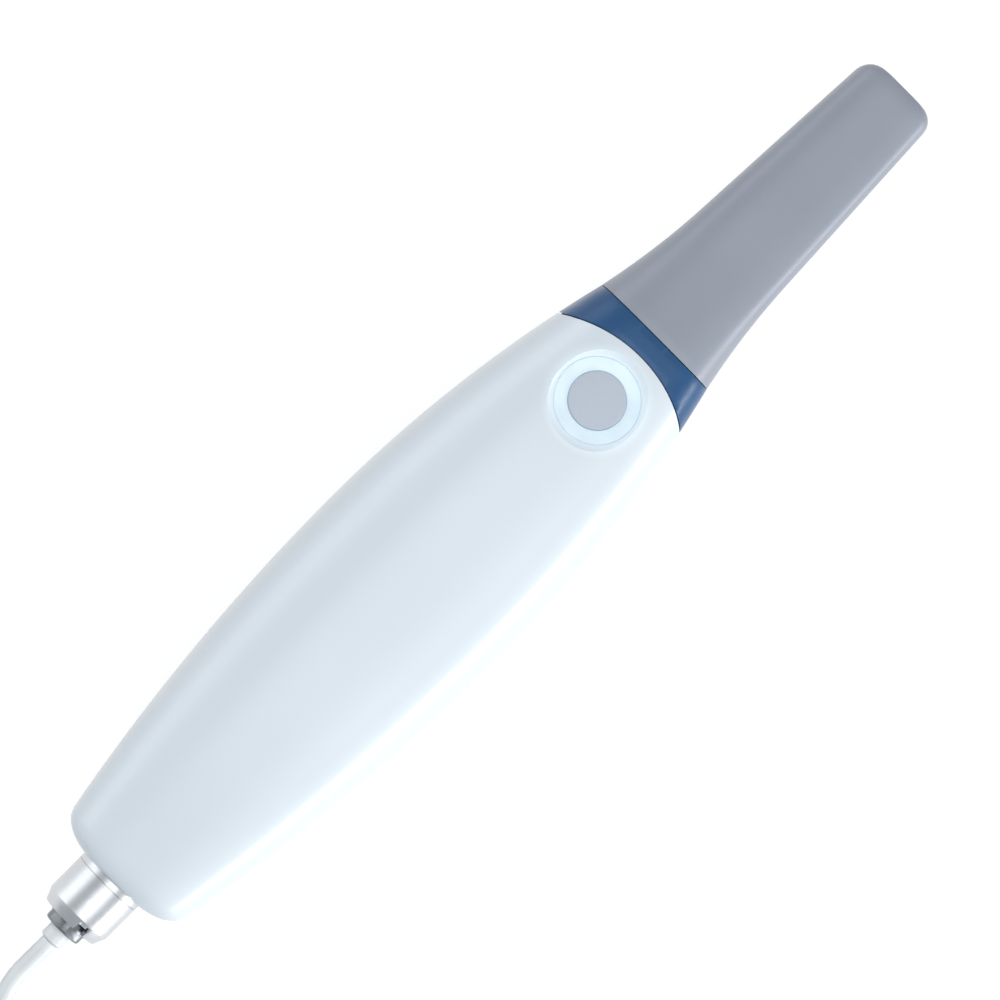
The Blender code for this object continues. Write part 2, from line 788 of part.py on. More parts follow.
def light_ring():
    """The translucent ring: a sloping rim in the dish, and a light guide down to the board."""
    return turned(
        "light_ring",
        [
            (RING_R, RING_TOP),
            (RING_R, RING_UNDER),
            (SLEEVE_R, RING_UNDER),
            (SLEEVE_R, RING_FOOT),
            (RING_INNER_R, RING_FOOT),
            (RING_INNER_R, RING_TOP - DISH_FALL),
        ],
        LIGHT,
        steps=32,
        place=BUTTON_PLACE,
    )


def scan_button():
    """The cap: a faintly domed disc, a skirt with a stop flange, and a peg over the switch."""
    top = RING_TOP
    inner_r = BUTTON_R - BUTTON_SKIN
    peg_r = SWITCH_SIZE / 4
    peg_foot = BUTTON_BOARD_TOP + SWITCH_HEIGHT + BUTTON_TRAVEL + 2 * GAP
    ceiling = top - BUTTON_SKIN
    return turned(
        "scan_button",
        [
            (0.0, top + BUTTON_DOME),
            (BUTTON_R * 0.6, top + BUTTON_DOME * 0.6),
            (BUTTON_R - BUTTON_DOME, top),
            (BUTTON_R, top - BUTTON_DOME),
            (BUTTON_R, FLANGE_TOP),
            (BUTTON_FLANGE_R, FLANGE_TOP),
            (BUTTON_FLANGE_R, FLANGE_FOOT),
            (inner_r, FLANGE_FOOT),
            (inner_r, ceiling),
            (peg_r, ceiling),
            (peg_r, peg_foot),
            (0.0, peg_foot),
        ],
        BUTTON_GREY,
        steps=24,
        closed=False,
        place=BUTTON_PLACE,
    )


def button_spring():
    """A coil round the peg, from the board to the underside of the cap."""
    low = BUTTON_BOARD_TOP + GAP + SPRING_WIRE / 2
    high = RING_TOP - BUTTON_SKIN - GAP - SPRING_WIRE / 2
    steps = SPRING_STEPS * SPRING_TURNS
    points = []
    for k in range(steps + 1):
        turn = math.tau * k / SPRING_STEPS
        height = low + (high - low) * k / steps
        coil = Vector((SPRING_R * math.cos(turn), SPRING_R * math.sin(turn), height))
        points.append(BUTTON_PLACE @ coil)
    return tube("button_spring", points, SPRING_WIRE / 2, STEEL, 1)


def button_board():
    board = block(
        "button_board",
        (BUTTON_BOARD_LENGTH, BUTTON_BOARD_WIDTH, BOARD_THICK),
        (0, 0, BUTTON_BOARD_TOP - BOARD_THICK / 2),
        GREEN,
        place=BUTTON_PLACE,
    )
    for side in (1, -1):
        hole = rod(
            f"board_hole_{side}",
            SCREW_R + SCREW_PLAY,
            (0, side * POST_AT, BUTTON_BOARD_TOP + GAP),
            (0, side * POST_AT, BUTTON_BOARD_TOP - BOARD_THICK - GAP),
            home=CUTTERS,
            sides=10,
            place=BUTTON_PLACE,
        )
        boolean(board, hole)
        head_top = BUTTON_BOARD_TOP - BOARD_THICK - GAP
        place = BUTTON_PLACE @ Matrix.Translation((0, side * POST_AT, head_top))
        screw(
            f"button_screw_{(3 - side) // 2}",
            place @ Matrix.Rotation(math.pi, 4, "X"),
            BUTTON_SCREW_LENGTH,
        )
    return board


def button_switch():
    block(
        "button_switch",
        (SWITCH_SIZE, SWITCH_SIZE, SWITCH_HEIGHT),
        (0, 0, BUTTON_BOARD_TOP + GAP + SWITCH_HEIGHT / 2),
        CHIP_BLACK,
        place=BUTTON_PLACE,
    )


def screw(name, place, length):
    """A small screw: its head stands on the plane z = 0 of its place and its shank goes down."""
    return turned(
        name,
        [
            (0.0, SCREW_HEAD),
            (SCREW_HEAD_R, SCREW_HEAD),
            (SCREW_HEAD_R, 0.0),
            (SCREW_R, 0.0),
            (SCREW_R, -length),
            (0.0, -length),
        ],
        DARK_STEEL,
        steps=8,
        closed=False,
        place=place,
    )


BULKHEAD_FRONT = SNOUT_REAR - GAP
BULKHEAD_REAR = BULKHEAD_FRONT - BULKHEAD_THICK
BOARD_FOOT = PLATE_TOP + BOARD_LIFT
BOARD_TOP = BOARD_FOOT + BOARD_THICK
CAMERA_BOARD_X = CUBE_X - CUBE / 2 - GAP - CAMERA_BARREL - GAP - SENSOR_THICK - GAP - BOARD_THICK
STANDOFFS = [
    (x, side * (BOARD_HALF_WIDTH - STANDOFF_INSET))
    for x in (BOARD_REAR + STANDOFF_INSET, BOARD_FRONT - STANDOFF_INSET)
    for side in (1, -1)
]


def chassis():
    """A metal tray: base plate, two rails, a bulkhead for the snout, posts for the boards."""
    length = BULKHEAD_FRONT - PLATE_REAR
    tray = block(
        "chassis",
        (length, 2 * PLATE_HALF_WIDTH, PLATE_THICK),
        (PLATE_REAR + length / 2, 0, PLATE_TOP - PLATE_THICK / 2),
        ALUMINIUM,
    )
    rail_length = RAIL_FRONT - PLATE_REAR - 2 * RAIL_THICK
    for side in (1, -1):
        rail = block(
            f"rail_{side}",
            (rail_length, RAIL_THICK, RAIL_HEIGHT + PLATE_THICK / 2),
            (
                RAIL_FRONT - rail_length / 2,
                side * (PLATE_HALF_WIDTH - RAIL_THICK / 2),
                PLATE_TOP + RAIL_HEIGHT / 2 - PLATE_THICK / 4,
            ),
            home=CUTTERS,
        )
        boolean(tray, rail, "UNION")
    low = PLATE_TOP - PLATE_THICK / 2
    bulkhead = block(
        "bulkhead",
        (BULKHEAD_THICK, 2 * BULKHEAD_HALF_WIDTH, AXIS_Z + BULKHEAD_TOP - low),
        (BULKHEAD_REAR + BULKHEAD_THICK / 2 - GAP / 4, 0, (AXIS_Z + BULKHEAD_TOP + low) / 2),
        home=CUTTERS,
    )
    boolean(tray, bulkhead, "UNION")
    bracket = block(
        "camera_bracket",
        (BOARD_THICK, CAMERA_BOARD, AXIS_Z + CAMERA_BOARD / 3 - low),
        (CAMERA_BOARD_X - GAP - BOARD_THICK / 2, 0, (AXIS_Z + CAMERA_BOARD / 3 + low) / 2),
        home=CUTTERS,
    )
    boolean(tray, bracket, "UNION")
    for number, (x, y) in enumerate(STANDOFFS):
        post = rod(
            f"standoff_{number}",
            STANDOFF_R,
            (x, y, low),
            (x, y, BOARD_FOOT - GAP),
            home=CUTTERS,
            sides=14,
        )
        boolean(tray, post, "UNION")
        hole = rod(
            f"standoff_hole_{number}",
            SCREW_R + SCREW_PLAY,
            (x, y, PLATE_TOP - PLATE_THICK - GAP),
            (x, y, BOARD_FOOT),
            home=CUTTERS,
            sides=10,
        )
        boolean(tray, hole)
    for number, (x, y) in enumerate(BOSS_AT):
        hole = rod(
            f"plate_hole_{number}",
            SCREW_R + SCREW_PLAY,
            (x, y, PLATE_TOP + GAP),
            (x, y, PLATE_FOOT - GAP),
            home=CUTTERS,
            sides=10,
        )
        boolean(tray, hole)
    barrel_hole = rod(
        "barrel_hole",
        BARREL_R + GAP,
        (BULKHEAD_REAR - GAP, 0, AXIS_Z),
        (BULKHEAD_FRONT + GAP, 0, AXIS_Z),
        home=CUTTERS,
        sides=28,
    )
    boolean(tray, barrel_hole)
    trough = rod(
        "barrel_trough",
        BARREL_FLANGE_R + GAP,
        (CUBE_X + CUBE / 2 + GAP, 0, AXIS_Z),
        (BULKHEAD_REAR, 0, AXIS_Z),
        home=CUTTERS,
        sides=28,
    )
    boolean(tray, trough)
    for number, (y, z) in enumerate(SNOUT_SCREWS):
        hole = rod(
            f"bulkhead_hole_{number}",
            SCREW_R + SCREW_PLAY,
            (BULKHEAD_REAR - GAP, y, AXIS_Z + z),
            (BULKHEAD_FRONT + GAP, y, AXIS_Z + z),
            home=CUTTERS,
            sides=10,
        )
        boolean(tray, hole)
    return tray


def frame_screws():
    """The screws of the chassis, the snout and the main board."""
    for number, (x, y) in enumerate(BOSS_AT, 1):
        screw(f"chassis_screw_{number}", Matrix.Translation((x, y, PLATE_TOP + GAP)), SCREW_LENGTH)
    backwards = Matrix.Rotation(-math.pi / 2, 4, "Y")
    for number, (y, z) in enumerate(SNOUT_SCREWS, 1):
        place = Matrix.Translation((BULKHEAD_REAR - GAP, y, AXIS_Z + z)) @ backwards
        screw(f"snout_screw_{number}", place, BULKHEAD_THICK + SNOUT_FLANGE + GAP)
    for number, (x, y) in enumerate(STANDOFFS, 1):
        place = Matrix.Translation((x, y, BOARD_TOP + GAP))
        screw(f"board_screw_{number}", place, BOARD_THICK + BOARD_LIFT)


def optics():
    """The coaxial engine: objective, beam splitter, camera behind it and projector beside it."""
    flange_front = BULKHEAD_REAR - GAP
    rear = CUBE_X + CUBE / 2 + 2 * GAP
    front = rear + BARREL_LENGTH
    turned(
        "objective_barrel",
        [
            (BARREL_R, front),
            (BARREL_R, flange_front),
            (BARREL_FLANGE_R, flange_front),
            (BARREL_FLANGE_R, flange_front - BARREL_FLANGE),
            (BARREL_R, flange_front - BARREL_FLANGE),
            (BARREL_R, rear),
            (BARREL_BORE, rear),
            (BARREL_BORE, front),
        ],
        BLACK,
        place=along_x(0.0),
    )
    lens("front_lens", along_x(front - LENS_INSET), BARREL_BORE - GAP)
    lens("rear_lens", along_x(rear + LENS_INSET), BARREL_BORE - GAP)
    block("beam_splitter", (CUBE, CUBE, CUBE), (CUBE_X, 0, AXIS_Z), GLASS, edge=GAP)
    camera_front = CUBE_X - CUBE / 2 - GAP
    turned(
        "camera_lens_barrel",
        [
            (CAMERA_BARREL_R, camera_front),
            (CAMERA_BARREL_R, camera_front - CAMERA_BARREL),
            (CAMERA_BARREL_R * 0.6, camera_front - CAMERA_BARREL),
            (CAMERA_BARREL_R * 0.8, camera_front),
        ],
        BLACK,
        place=along_x(0.0),
    )
    sensor_x = camera_front - CAMERA_BARREL - GAP - SENSOR_THICK / 2
    block("camera_sensor", (SENSOR_THICK, SENSOR, SENSOR), (sensor_x, 0, AXIS_Z), CHIP_BLACK)
    low = PLATE_TOP + GAP
    high = AXIS_Z + CAMERA_BOARD / 2
    block(
        "camera_board",
        (BOARD_THICK, CAMERA_BOARD, high - low),
        (CAMERA_BOARD_X + BOARD_THICK / 2, 0, (high + low) / 2),
        GREEN,
    )


def lens(name, place, radius):
    """A biconvex lens, turned about its own Z."""
    edge = LENS_THICK / 4
    sag = LENS_THICK / 2 - edge
    turns = [k * math.pi / 4 for k in range(3)]
    arc = [(radius * math.sin(turn), edge + sag * math.cos(turn)) for turn in turns]
    profile = arc + [(r, -h) for r, h in reversed(arc)]
    return turned(name, profile, GLASS, steps=16, closed=False, place=place)


def projector():
    """The pattern projector to the right of the beam splitter, with its LED, board and cooler."""
    place = Matrix.Translation((CUBE_X, 0, AXIS_Z)) @ Matrix.Rotation(math.pi / 2, 4, "X")
    near = CUBE / 2 + GAP
    far = near + PROJECTOR_BARREL
    bore = PROJECTOR_R - WALL / 2
    turned(
        "projector_barrel",
        [(PROJECTOR_R, far), (PROJECTOR_R, near), (bore, near), (bore, far)],
        BLACK,
        place=place,
    )
    lens("projector_lens", place @ Matrix.Translation((0, 0, near + LENS_INSET)), bore - GAP)
    block(
        "projector_led",
        (LED_SIZE, LED_SIZE, LED_THICK),
        (0, 0, far - LED_THICK / 2),
        CHIP_BLACK,
        place=place,
    )
    board_at = far + GAP
    block(
        "led_board",
        (LED_BOARD, LED_BOARD, BOARD_THICK),
        (0, 0, board_at + BOARD_THICK / 2),
        GREEN,
        place=place,
    )
    finned(
        "led_heat_sink",
        place @ Matrix.Translation((0, 0, board_at + BOARD_THICK + GAP)),
        LED_BOARD,
        SINK_DEPTH,
        SINK_FINS,
    )


def finned(name, place, side, height, fins):
    """A heat sink: a base that stands on z = 0 of its place, with upright fins."""
    base = height / 3
    sink = block(name, (side, side, base), (0, 0, base / 2), ALUMINIUM, place=place)
    pitch = side / (2 * fins - 1)
    for k in range(fins):
        fin = block(
            f"{name}_fin_{k}",
            (side, pitch, height - base / 2),
            (0, (2 * k + 0.5) * pitch - side / 2, height / 2 + base / 4),
            home=CUTTERS,
            place=place,
        )
        boolean(sink, fin, "UNION")
    return sink


def main_board():
    length = BOARD_FRONT - BOARD_REAR
    board = block(
        "main_board",
        (length, 2 * BOARD_HALF_WIDTH, BOARD_THICK),
        (BOARD_REAR + length / 2, 0, BOARD_FOOT + BOARD_THICK / 2),
        GREEN,
    )
    for number, (x, y) in enumerate(STANDOFFS):
        hole = rod(
            f"main_hole_{number}",
            SCREW_R + SCREW_PLAY,
            (x, y, BOARD_FOOT - GAP),
            (x, y, BOARD_TOP + GAP),
            home=CUTTERS,
            sides=10,
        )
        boolean(board, hole)
    chip_top = BOARD_TOP + GAP + CHIP_THICK
    block("processor", (CHIP, CHIP, CHIP_THICK), (CHIP_X, 0, chip_top - CHIP_THICK / 2), CHIP_BLACK)
    place = Matrix.Translation((CHIP_X, 0, chip_top + GAP))
    finned("processor_cooler", place, COOLER, COOLER_HEIGHT, COOLER_FINS)
    block(
        "board_header",
        (HEADER_LENGTH, HEADER_WIDTH, HEADER_HEIGHT),
        (BOARD_REAR + 3 * STANDOFF_INSET, 0, BOARD_TOP + GAP + HEADER_HEIGHT / 2),
        CHIP_BLACK,
        edge=GAP,
    )


def button_flex():
    """The flat lead from the button board down to the front of the main board."""
    board_foot = Vector((-BUTTON_BOARD_LENGTH / 4, 0, BUTTON_BOARD_TOP - BOARD_THICK - 2 * GAP))
    start_at = BUTTON_PLACE @ board_foot - Vector((0, 0, FLEX_THICK))
    end_at = Vector((BOARD_FRONT - FLEX_WIDTH, 0, BOARD_TOP + 2 * GAP))
    bend_from = CAMERA_BOARD_X - 3 * BOARD_THICK
    run = end_at.x - bend_from
    places = [start_at.x] + [bend_from + run * k / 10 for k in range(11)]
    rings = []
    for x in places:
        z = start_at.z + (end_at.z - start_at.z) * ease(max(bend_from - x, 0.0) / -run)
        rings.append(
            [
                (x, side * FLEX_WIDTH / 2, z + lift * FLEX_THICK / 2)
                for side, lift in ((1, 1), (-1, 1), (-1, -1), (1, -1))
            ]
        )
    return loft("button_flex", rings, BLACK)


REAR_X = -HANDLE_REAR - GAP  # the socket's flange stands off the rear face by the gap
SLEEVE_FRONT = REAR_X - SOCKET_FLANGE - GAP
SLEEVE_REAR = SLEEVE_FRONT - SLEEVE_LENGTH
NUT_REAR = SLEEVE_REAR - NUT_SHOWS
RELIEF_REAR = NUT_REAR - RELIEF_SHOWS
SOCKET_FRONT = REAR_X + SOCKET_LENGTH
CORE_R = PLUG_R - SLEEVE_SHELL - GAP
CORE_REAR = SLEEVE_REAR + SLEEVE_END + GAP
NOSE_R = SOCKET_BORE - GAP
NOSE_TIP = SLEEVE_FRONT + NOSE_LENGTH
NOSE_BORE = NOSE_R - NOSE_WALL


def socket():
    """The panel socket: a flange outside the rear wall and a nut inside it."""
    turned(
        "socket",
        [
            (SOCKET_R, SOCKET_FRONT),
            (SOCKET_R, REAR_X),
            (PLUG_R, REAR_X),
            (PLUG_R, REAR_X - SOCKET_FLANGE),
            (SOCKET_BORE, REAR_X - SOCKET_FLANGE),
            (SOCKET_BORE, SOCKET_FRONT),
        ],
        STEEL,
        steps=24,
        place=along_x(0.0),
    )
    nut_rear = -HANDLE_REAR + WALL + GAP
    nut = rod(
        "socket_nut",
        SOCKET_NUT_R,
        (nut_rear, 0, AXIS_Z),
        (nut_rear + SOCKET_NUT, 0, AXIS_Z),
        DARK_STEEL,
        sides=NUT_FLATS,
    )
    bore = rod(
        "socket_nut_bore",
        SOCKET_R + GAP,
        (nut_rear - GAP, 0, AXIS_Z),
        (nut_rear + SOCKET_NUT + GAP, 0, AXIS_Z),
        home=CUTTERS,
        sides=28,
    )
    boolean(nut, bore)
    block_from = NOSE_TIP + GAP
    rod(
        "socket_contacts",
        SOCKET_BORE - GAP,
        (block_from, 0, AXIS_Z),
        (SOCKET_FRONT, 0, AXIS_Z),
        BLACK,
        sides=24,
    )


def inner_harness():
    """The bundle from the socket's contacts down to the header on the main board."""
    start_at = Vector((SOCKET_FRONT + GAP, 0, AXIS_Z))
    header_rear = BOARD_REAR + 3 * STANDOFF_INSET - HEADER_LENGTH / 2
    run = Vector((header_rear - GAP, 0, BOARD_TOP + HEADER_HEIGHT / 2 + GAP)) - start_at
    points = [start_at + Vector((run.x * k / 8, 0, run.z * ease(k / 8))) for k in range(9)]
    return tube("inner_harness", points, HEADER_HEIGHT / 3, BLACK)


def plug_sleeve():
    """The knurl-free grip sleeve of the push-pull plug, with two spanner slots in its rear edge."""
    inner = PLUG_R - SLEEVE_SHELL
    mouth = NUT_R + 2 * GAP
    sleeve = turned(
        "plug_sleeve",
        [
            (PLUG_R, SLEEVE_FRONT),
            (PLUG_R, SLEEVE_REAR + SLEEVE_CHAMFER),
            (PLUG_R - SLEEVE_CHAMFER_IN, SLEEVE_REAR),
            (mouth, SLEEVE_REAR),
            (mouth, SLEEVE_REAR + SLEEVE_END),
            (inner, SLEEVE_REAR + SLEEVE_END),
            (inner, SLEEVE_FRONT),
        ],
        STEEL,
        steps=28,
        place=along_x(0.0),
    )
    place = Matrix.Translation((0, 0, AXIS_Z)) @ Matrix.Rotation(SLOT_TURN, 4, "X")
    for side in (1, -1):
        slot = block(
            f"slot_{side}",
            (2 * SLOT_DEPTH, SLOT_WIDTH, PLUG_R),
            (SLEEVE_REAR, 0, side * (mouth - GAP + PLUG_R / 2)),
            home=CUTTERS,
            place=place,
        )
        boolean(sleeve, slot)
    return sleeve


def plug_core():
    """The plug's body inside the sleeve, and the nose that goes into the socket."""
    return turned(
        "plug_core",
        [
            (NOSE_R - GAP, NOSE_TIP),
            (NOSE_R, NOSE_TIP - GAP),
            (NOSE_R, SLEEVE_FRONT),
            (CORE_R, SLEEVE_FRONT),
            (CORE_R, CORE_REAR),
            (NOSE_BORE, CORE_REAR),
            (NOSE_BORE, NOSE_TIP),
        ],
        STEEL,
        steps=24,
        place=along_x(0.0),
    )


def plug_contacts():
    return rod(
        "plug_contacts",
        NOSE_BORE - GAP,
        (NOSE_TIP - CONTACT_LENGTH - GAP, 0, AXIS_Z),
        (NOSE_TIP - GAP, 0, AXIS_Z),
        BLACK,
        sides=20,
    )


def back_nut():
    """The clamp nut: a round skirt in the sleeve's mouth and six chamfered flats behind it."""
    front = CORE_REAR - GAP
    nut = rod("back_nut", NUT_R, (NUT_REAR, 0, AXIS_Z), (front, 0, AXIS_Z), DARK_STEEL, sides=32)
    across = NUT_R * NUT_FLAT_AT
    for k in range(NUT_FLATS):
        turn = Matrix.Rotation(math.tau * (k + 0.5) / NUT_FLATS, 4, "X")
        flat = block(
            f"nut_flat_{k}",
            (2 * (NUT_SHOWS - 2 * GAP), 2 * NUT_R, NUT_R),
            (0, 0, across + NUT_R / 2),
            home=CUTTERS,
            place=Matrix.Translation((NUT_REAR, 0, AXIS_Z)) @ turn,
        )
        boolean(nut, flat)
    bore = rod(
        "nut_bore",
        RELIEF_R + GAP,
        (NUT_REAR - GAP, 0, AXIS_Z),
        (front + GAP, 0, AXIS_Z),
        home=CUTTERS,
        sides=24,
    )
    return boolean(nut, bore)


def strain_relief():
    front = CORE_REAR - GAP
    return turned(
        "strain_relief",
        [
            (0.0, front),
            (RELIEF_R, front),
            (RELIEF_R, RELIEF_REAR + GAP),
            (RELIEF_R - GAP, RELIEF_REAR),
            (0.0, RELIEF_REAR),
        ],
        CABLE_WHITE,
        steps=24,
        closed=False,
        place=along_x(0.0),
    )


TOP_TURN_Z = COIL_BASE + CABLE_R + (TURN_LAYERS - 1) * TURN_PITCH
COIL_INNER = COIL_R - (TURNS_ACROSS - 1) / 2 * TURN_PITCH - TURN_PITCH / 2
COIL_OUTER = COIL_INNER + TURNS_ACROSS * TURN_PITCH
COIL_HEIGHT = TURN_LAYERS * TURN_PITCH
LEAD_R = COIL_INNER + (LEAD_COLUMN + 0.5) * TURN_PITCH


LEAD_FROM = RELIEF_REAR - GAP
BEND_FROM = LEAD_FROM - CABLE_STRAIGHT


def lead_point(x):
    """The lead's centreline at this X. It sinks to the top turn's height, and eases over to its side."""
    aside = ease((BEND_FROM - x) / (BEND_FROM - COIL_X))
    down = ease((LEAD_FROM - x) / (LEAD_FROM - COIL_X - COIL_OUTER))
    return Vector((x, (COIL_Y - LEAD_R) * aside, AXIS_Z + (TOP_TURN_Z - AXIS_Z) * down))


def end_reach(x):
    """How near the coil's middle the lead's inner edge comes, when it is cut off at this X."""
    point = lead_point(x).xy
    run = (lead_point(x - GAP).xy - point).normalized()
    return math.dist(point + Vector((run.y, -run.x)) * CABLE_R, (COIL_X, COIL_Y))


def cable():
    """The lead as far as the coil's outer face."""
    end_x = LEAD_FROM
    while end_reach(end_x - GAP / 2) > COIL_OUTER + GAP:
        end_x -= GAP / 2
    points = [lead_point(LEAD_FROM + (end_x - LEAD_FROM) * k / 24) for k in range(25)]
    return tube("cable", points, CABLE_R, CABLE_WHITE)


def cable_coil():
    """The coil's outer shape: a ring of rounded square section."""
    soft = CABLE_R / 2
    low, high = COIL_BASE, COIL_BASE + COIL_HEIGHT
    return turned(
        "cable_coil",
        [
            (COIL_OUTER - soft, high),
            (COIL_OUTER, high - soft),
            (COIL_OUTER, low + soft),
            (COIL_OUTER - soft, low),
            (COIL_INNER + soft, low),
            (COIL_INNER, low + soft),
            (COIL_INNER, high - soft),
            (COIL_INNER + soft, high),
        ],
        CABLE_WHITE,
        steps=32,
        place=Matrix.Translation((COIL_X, COIL_Y, 0)),
    )


def cable_tie():
    """A strap round the coil's turns, on the side away from the plug."""
    inner_low = COIL_INNER * math.cos(math.asin(TIE_WIDTH / 2 / COIL_INNER)) - GAP
    inner_high = COIL_OUTER + GAP
    hole_height = COIL_HEIGHT + 2 * GAP
    middle = COIL_Y + (inner_low + inner_high) / 2
    size = (TIE_WIDTH, inner_high - inner_low + 2 * TIE_THICK, hole_height + 2 * TIE_THICK)
    tie = block("cable_tie", size, (COIL_X, middle, size[2] / 2), RUBBER)
    hole = block(
        "tie_hole",
        (2 * TIE_WIDTH, inner_high - inner_low, hole_height),
        (COIL_X, middle, size[2] / 2),
        home=CUTTERS,
    )
    return boolean(tie, hole)


TAIL_Y = COIL_Y - (COIL_OUTER - TURN_PITCH / 2)
TAIL_Z = COIL_BASE + CABLE_R
USB_FRONT = COIL_X - TAIL_LENGTH


def cable_tail():
    """The straight end of the last turn, from the coil's outer face to the plug at its end."""
    leave = math.sqrt((COIL_OUTER + GAP) ** 2 - (COIL_OUTER - TURN_PITCH / 2 - CABLE_R) ** 2)
    return rod(
        "cable_tail",
        CABLE_R,
        (COIL_X - leave, TAIL_Y, TAIL_Z),
        (USB_FRONT + GAP, TAIL_Y, TAIL_Z),
        CABLE_WHITE,
        sides=12,
    )


def usb_plug():
    """A plain moulded plug with its folded metal shell, lying beside the coil."""
    length, width, height = USB_BODY
    block(
        "usb_body",
        USB_BODY,
        (USB_FRONT - length / 2, TAIL_Y, height / 2),
        CABLE_WHITE,
        edge=CABLE_R / 2,
    )
    rear = USB_FRONT - length - GAP
    shell_length, shell_width, shell_height = USB_SHELL
    shell = block("usb_shell", USB_SHELL, (rear - shell_length / 2, TAIL_Y, height / 2), STEEL)
    hollow = block(
        "usb_hollow",
        (2 * (shell_length - USB_SHEET), shell_width - 2 * USB_SHEET, shell_height - 2 * USB_SHEET),
        (rear - shell_length, TAIL_Y, height / 2),
        home=CUTTERS,
    )
    boolean(shell, hollow)
    return shell


def build():
    upper_shell()
    lower_shell()
    collar()
    snout()
    snout_pane()
    grip_ring()
    tip_shell()
    tip_mirror()
    light_ring()
    scan_button()
    button_spring()
    button_board()
    button_switch()
    chassis()
    frame_screws()
    optics()
    projector()
    main_board()
    button_flex()
    socket()
    inner_harness()
    plug_sleeve()
    plug_core()
    plug_contacts()
    back_nut()
    strain_relief()
    cable()
    cable_coil()
    cable_tie()
    cable_tail()
    usb_plug()
    for piece in PIECES.objects:
        if piece.type == "MESH":
            piece.data.shade_smooth()
            piece.data.set_sharp_from_angle(angle=math.radians(35))


build()
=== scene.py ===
# %% [markdown]
# # A handheld intraoral scanner
# The scanner lies on its belly on a pale floor, seen from above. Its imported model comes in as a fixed
# frame: every piece made below sits on that frame's own measures, in metres, with +X towards the tip
# and +Z up through the scan button. The frame's nodes that show stay, with a better finish, or are
# replaced by a smoother piece of the same size.

# %% Load the frame and keep its box
import json
import math

import bmesh
import bpy
from mathutils import Matrix, Vector

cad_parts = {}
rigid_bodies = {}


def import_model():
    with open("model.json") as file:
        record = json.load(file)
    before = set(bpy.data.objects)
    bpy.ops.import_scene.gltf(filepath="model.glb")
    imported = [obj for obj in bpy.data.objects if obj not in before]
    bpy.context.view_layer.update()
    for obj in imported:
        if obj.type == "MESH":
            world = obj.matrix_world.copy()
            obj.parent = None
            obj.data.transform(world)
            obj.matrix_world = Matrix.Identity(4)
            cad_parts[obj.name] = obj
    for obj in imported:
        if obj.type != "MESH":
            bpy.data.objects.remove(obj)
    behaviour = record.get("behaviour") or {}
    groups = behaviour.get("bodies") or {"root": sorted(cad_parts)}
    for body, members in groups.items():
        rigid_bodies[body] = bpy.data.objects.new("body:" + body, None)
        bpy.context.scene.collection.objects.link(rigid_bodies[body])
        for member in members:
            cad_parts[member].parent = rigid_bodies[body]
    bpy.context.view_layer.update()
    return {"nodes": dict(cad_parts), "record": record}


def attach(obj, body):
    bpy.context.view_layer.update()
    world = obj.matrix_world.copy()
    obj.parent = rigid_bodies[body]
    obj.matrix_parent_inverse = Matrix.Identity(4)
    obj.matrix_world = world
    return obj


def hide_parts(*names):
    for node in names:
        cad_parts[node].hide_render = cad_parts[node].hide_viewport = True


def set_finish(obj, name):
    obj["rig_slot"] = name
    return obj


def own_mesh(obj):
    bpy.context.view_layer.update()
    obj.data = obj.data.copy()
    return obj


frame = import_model()
bpy.ops.object.select_all(action="DESELECT")

# %% [markdown]
# ## The measures
# These are the scanner's own numbers, as its parts were drawn. The handle swells like a long grain
# from a blunt rear to a waist at the tip's seat. All heights are measured from its axis, and the zero
# of X is the handle's widest place.

# %% The handle's and the tip's measures
AXIS_Z = 0.0230
REAR, SEAT = 0.0930, 0.0748  # from the widest place back to the rear and forward to the tip's seat
WALL = 0.0022
REAR_ROUND = 0.0050  # the length over which the rear end is rounded off
REAR_PULL_WIDE, REAR_PULL_HIGH = 0.0085, 0.0045  # how far that pulls in the sides and the crown
SEAM_X, SEAM_R = 0.0690, 0.0340  # the front of the seam's arc and its radius
TIP_LENGTH = 0.0767
TIP_WALL = 0.0015
TIP_ROUND, TIP_ROUND_HIGH = 0.0038, 0.0014  # the end's rounding from above and from the side
FLARE, FLARE_LENGTH = 0.0023, 0.0280  # the tip's base is this much wider, over this length
MIRROR_X = 0.1383  # the middle of the mirror's face
GAP = 0.0003  # between pieces that don't touch
CLOSE_FIT = 0.0001  # between pieces that fit closely where it shows
PLAY = 0.0004  # between the tip and the snout
STATION = 0.0022  # between the rings of a skin
print("handle and tip together:", round((REAR + SEAT + TIP_LENGTH) * 1000, 1), "mm")

# %% [markdown]
# ## The camera
# The picture looks straight down on the scanner, which lies along the picture's diagonal. The camera
# hangs about 1.4 m above it and leans a little, so that a bit more of the left flank shows. A long
# lens keeps the edges nearly parallel. A matrix is built in the order it would be done by hand: stand
# over the middle, lean, turn by 45 degrees, and back off.

# %% Place the camera
PIXELS_PER_MM = 4.56  # at the height of the scanner's axis
PICTURE_WIDTH = 1000 / PIXELS_PER_MM / 1000  # metres across a picture of 1000 pixels
CAMERA_FAR = 1.4
CAMERA_LEAN = math.radians(3.7)
PICTURE_MIDDLE = Vector((0.0256, -0.00143, AXIS_Z))

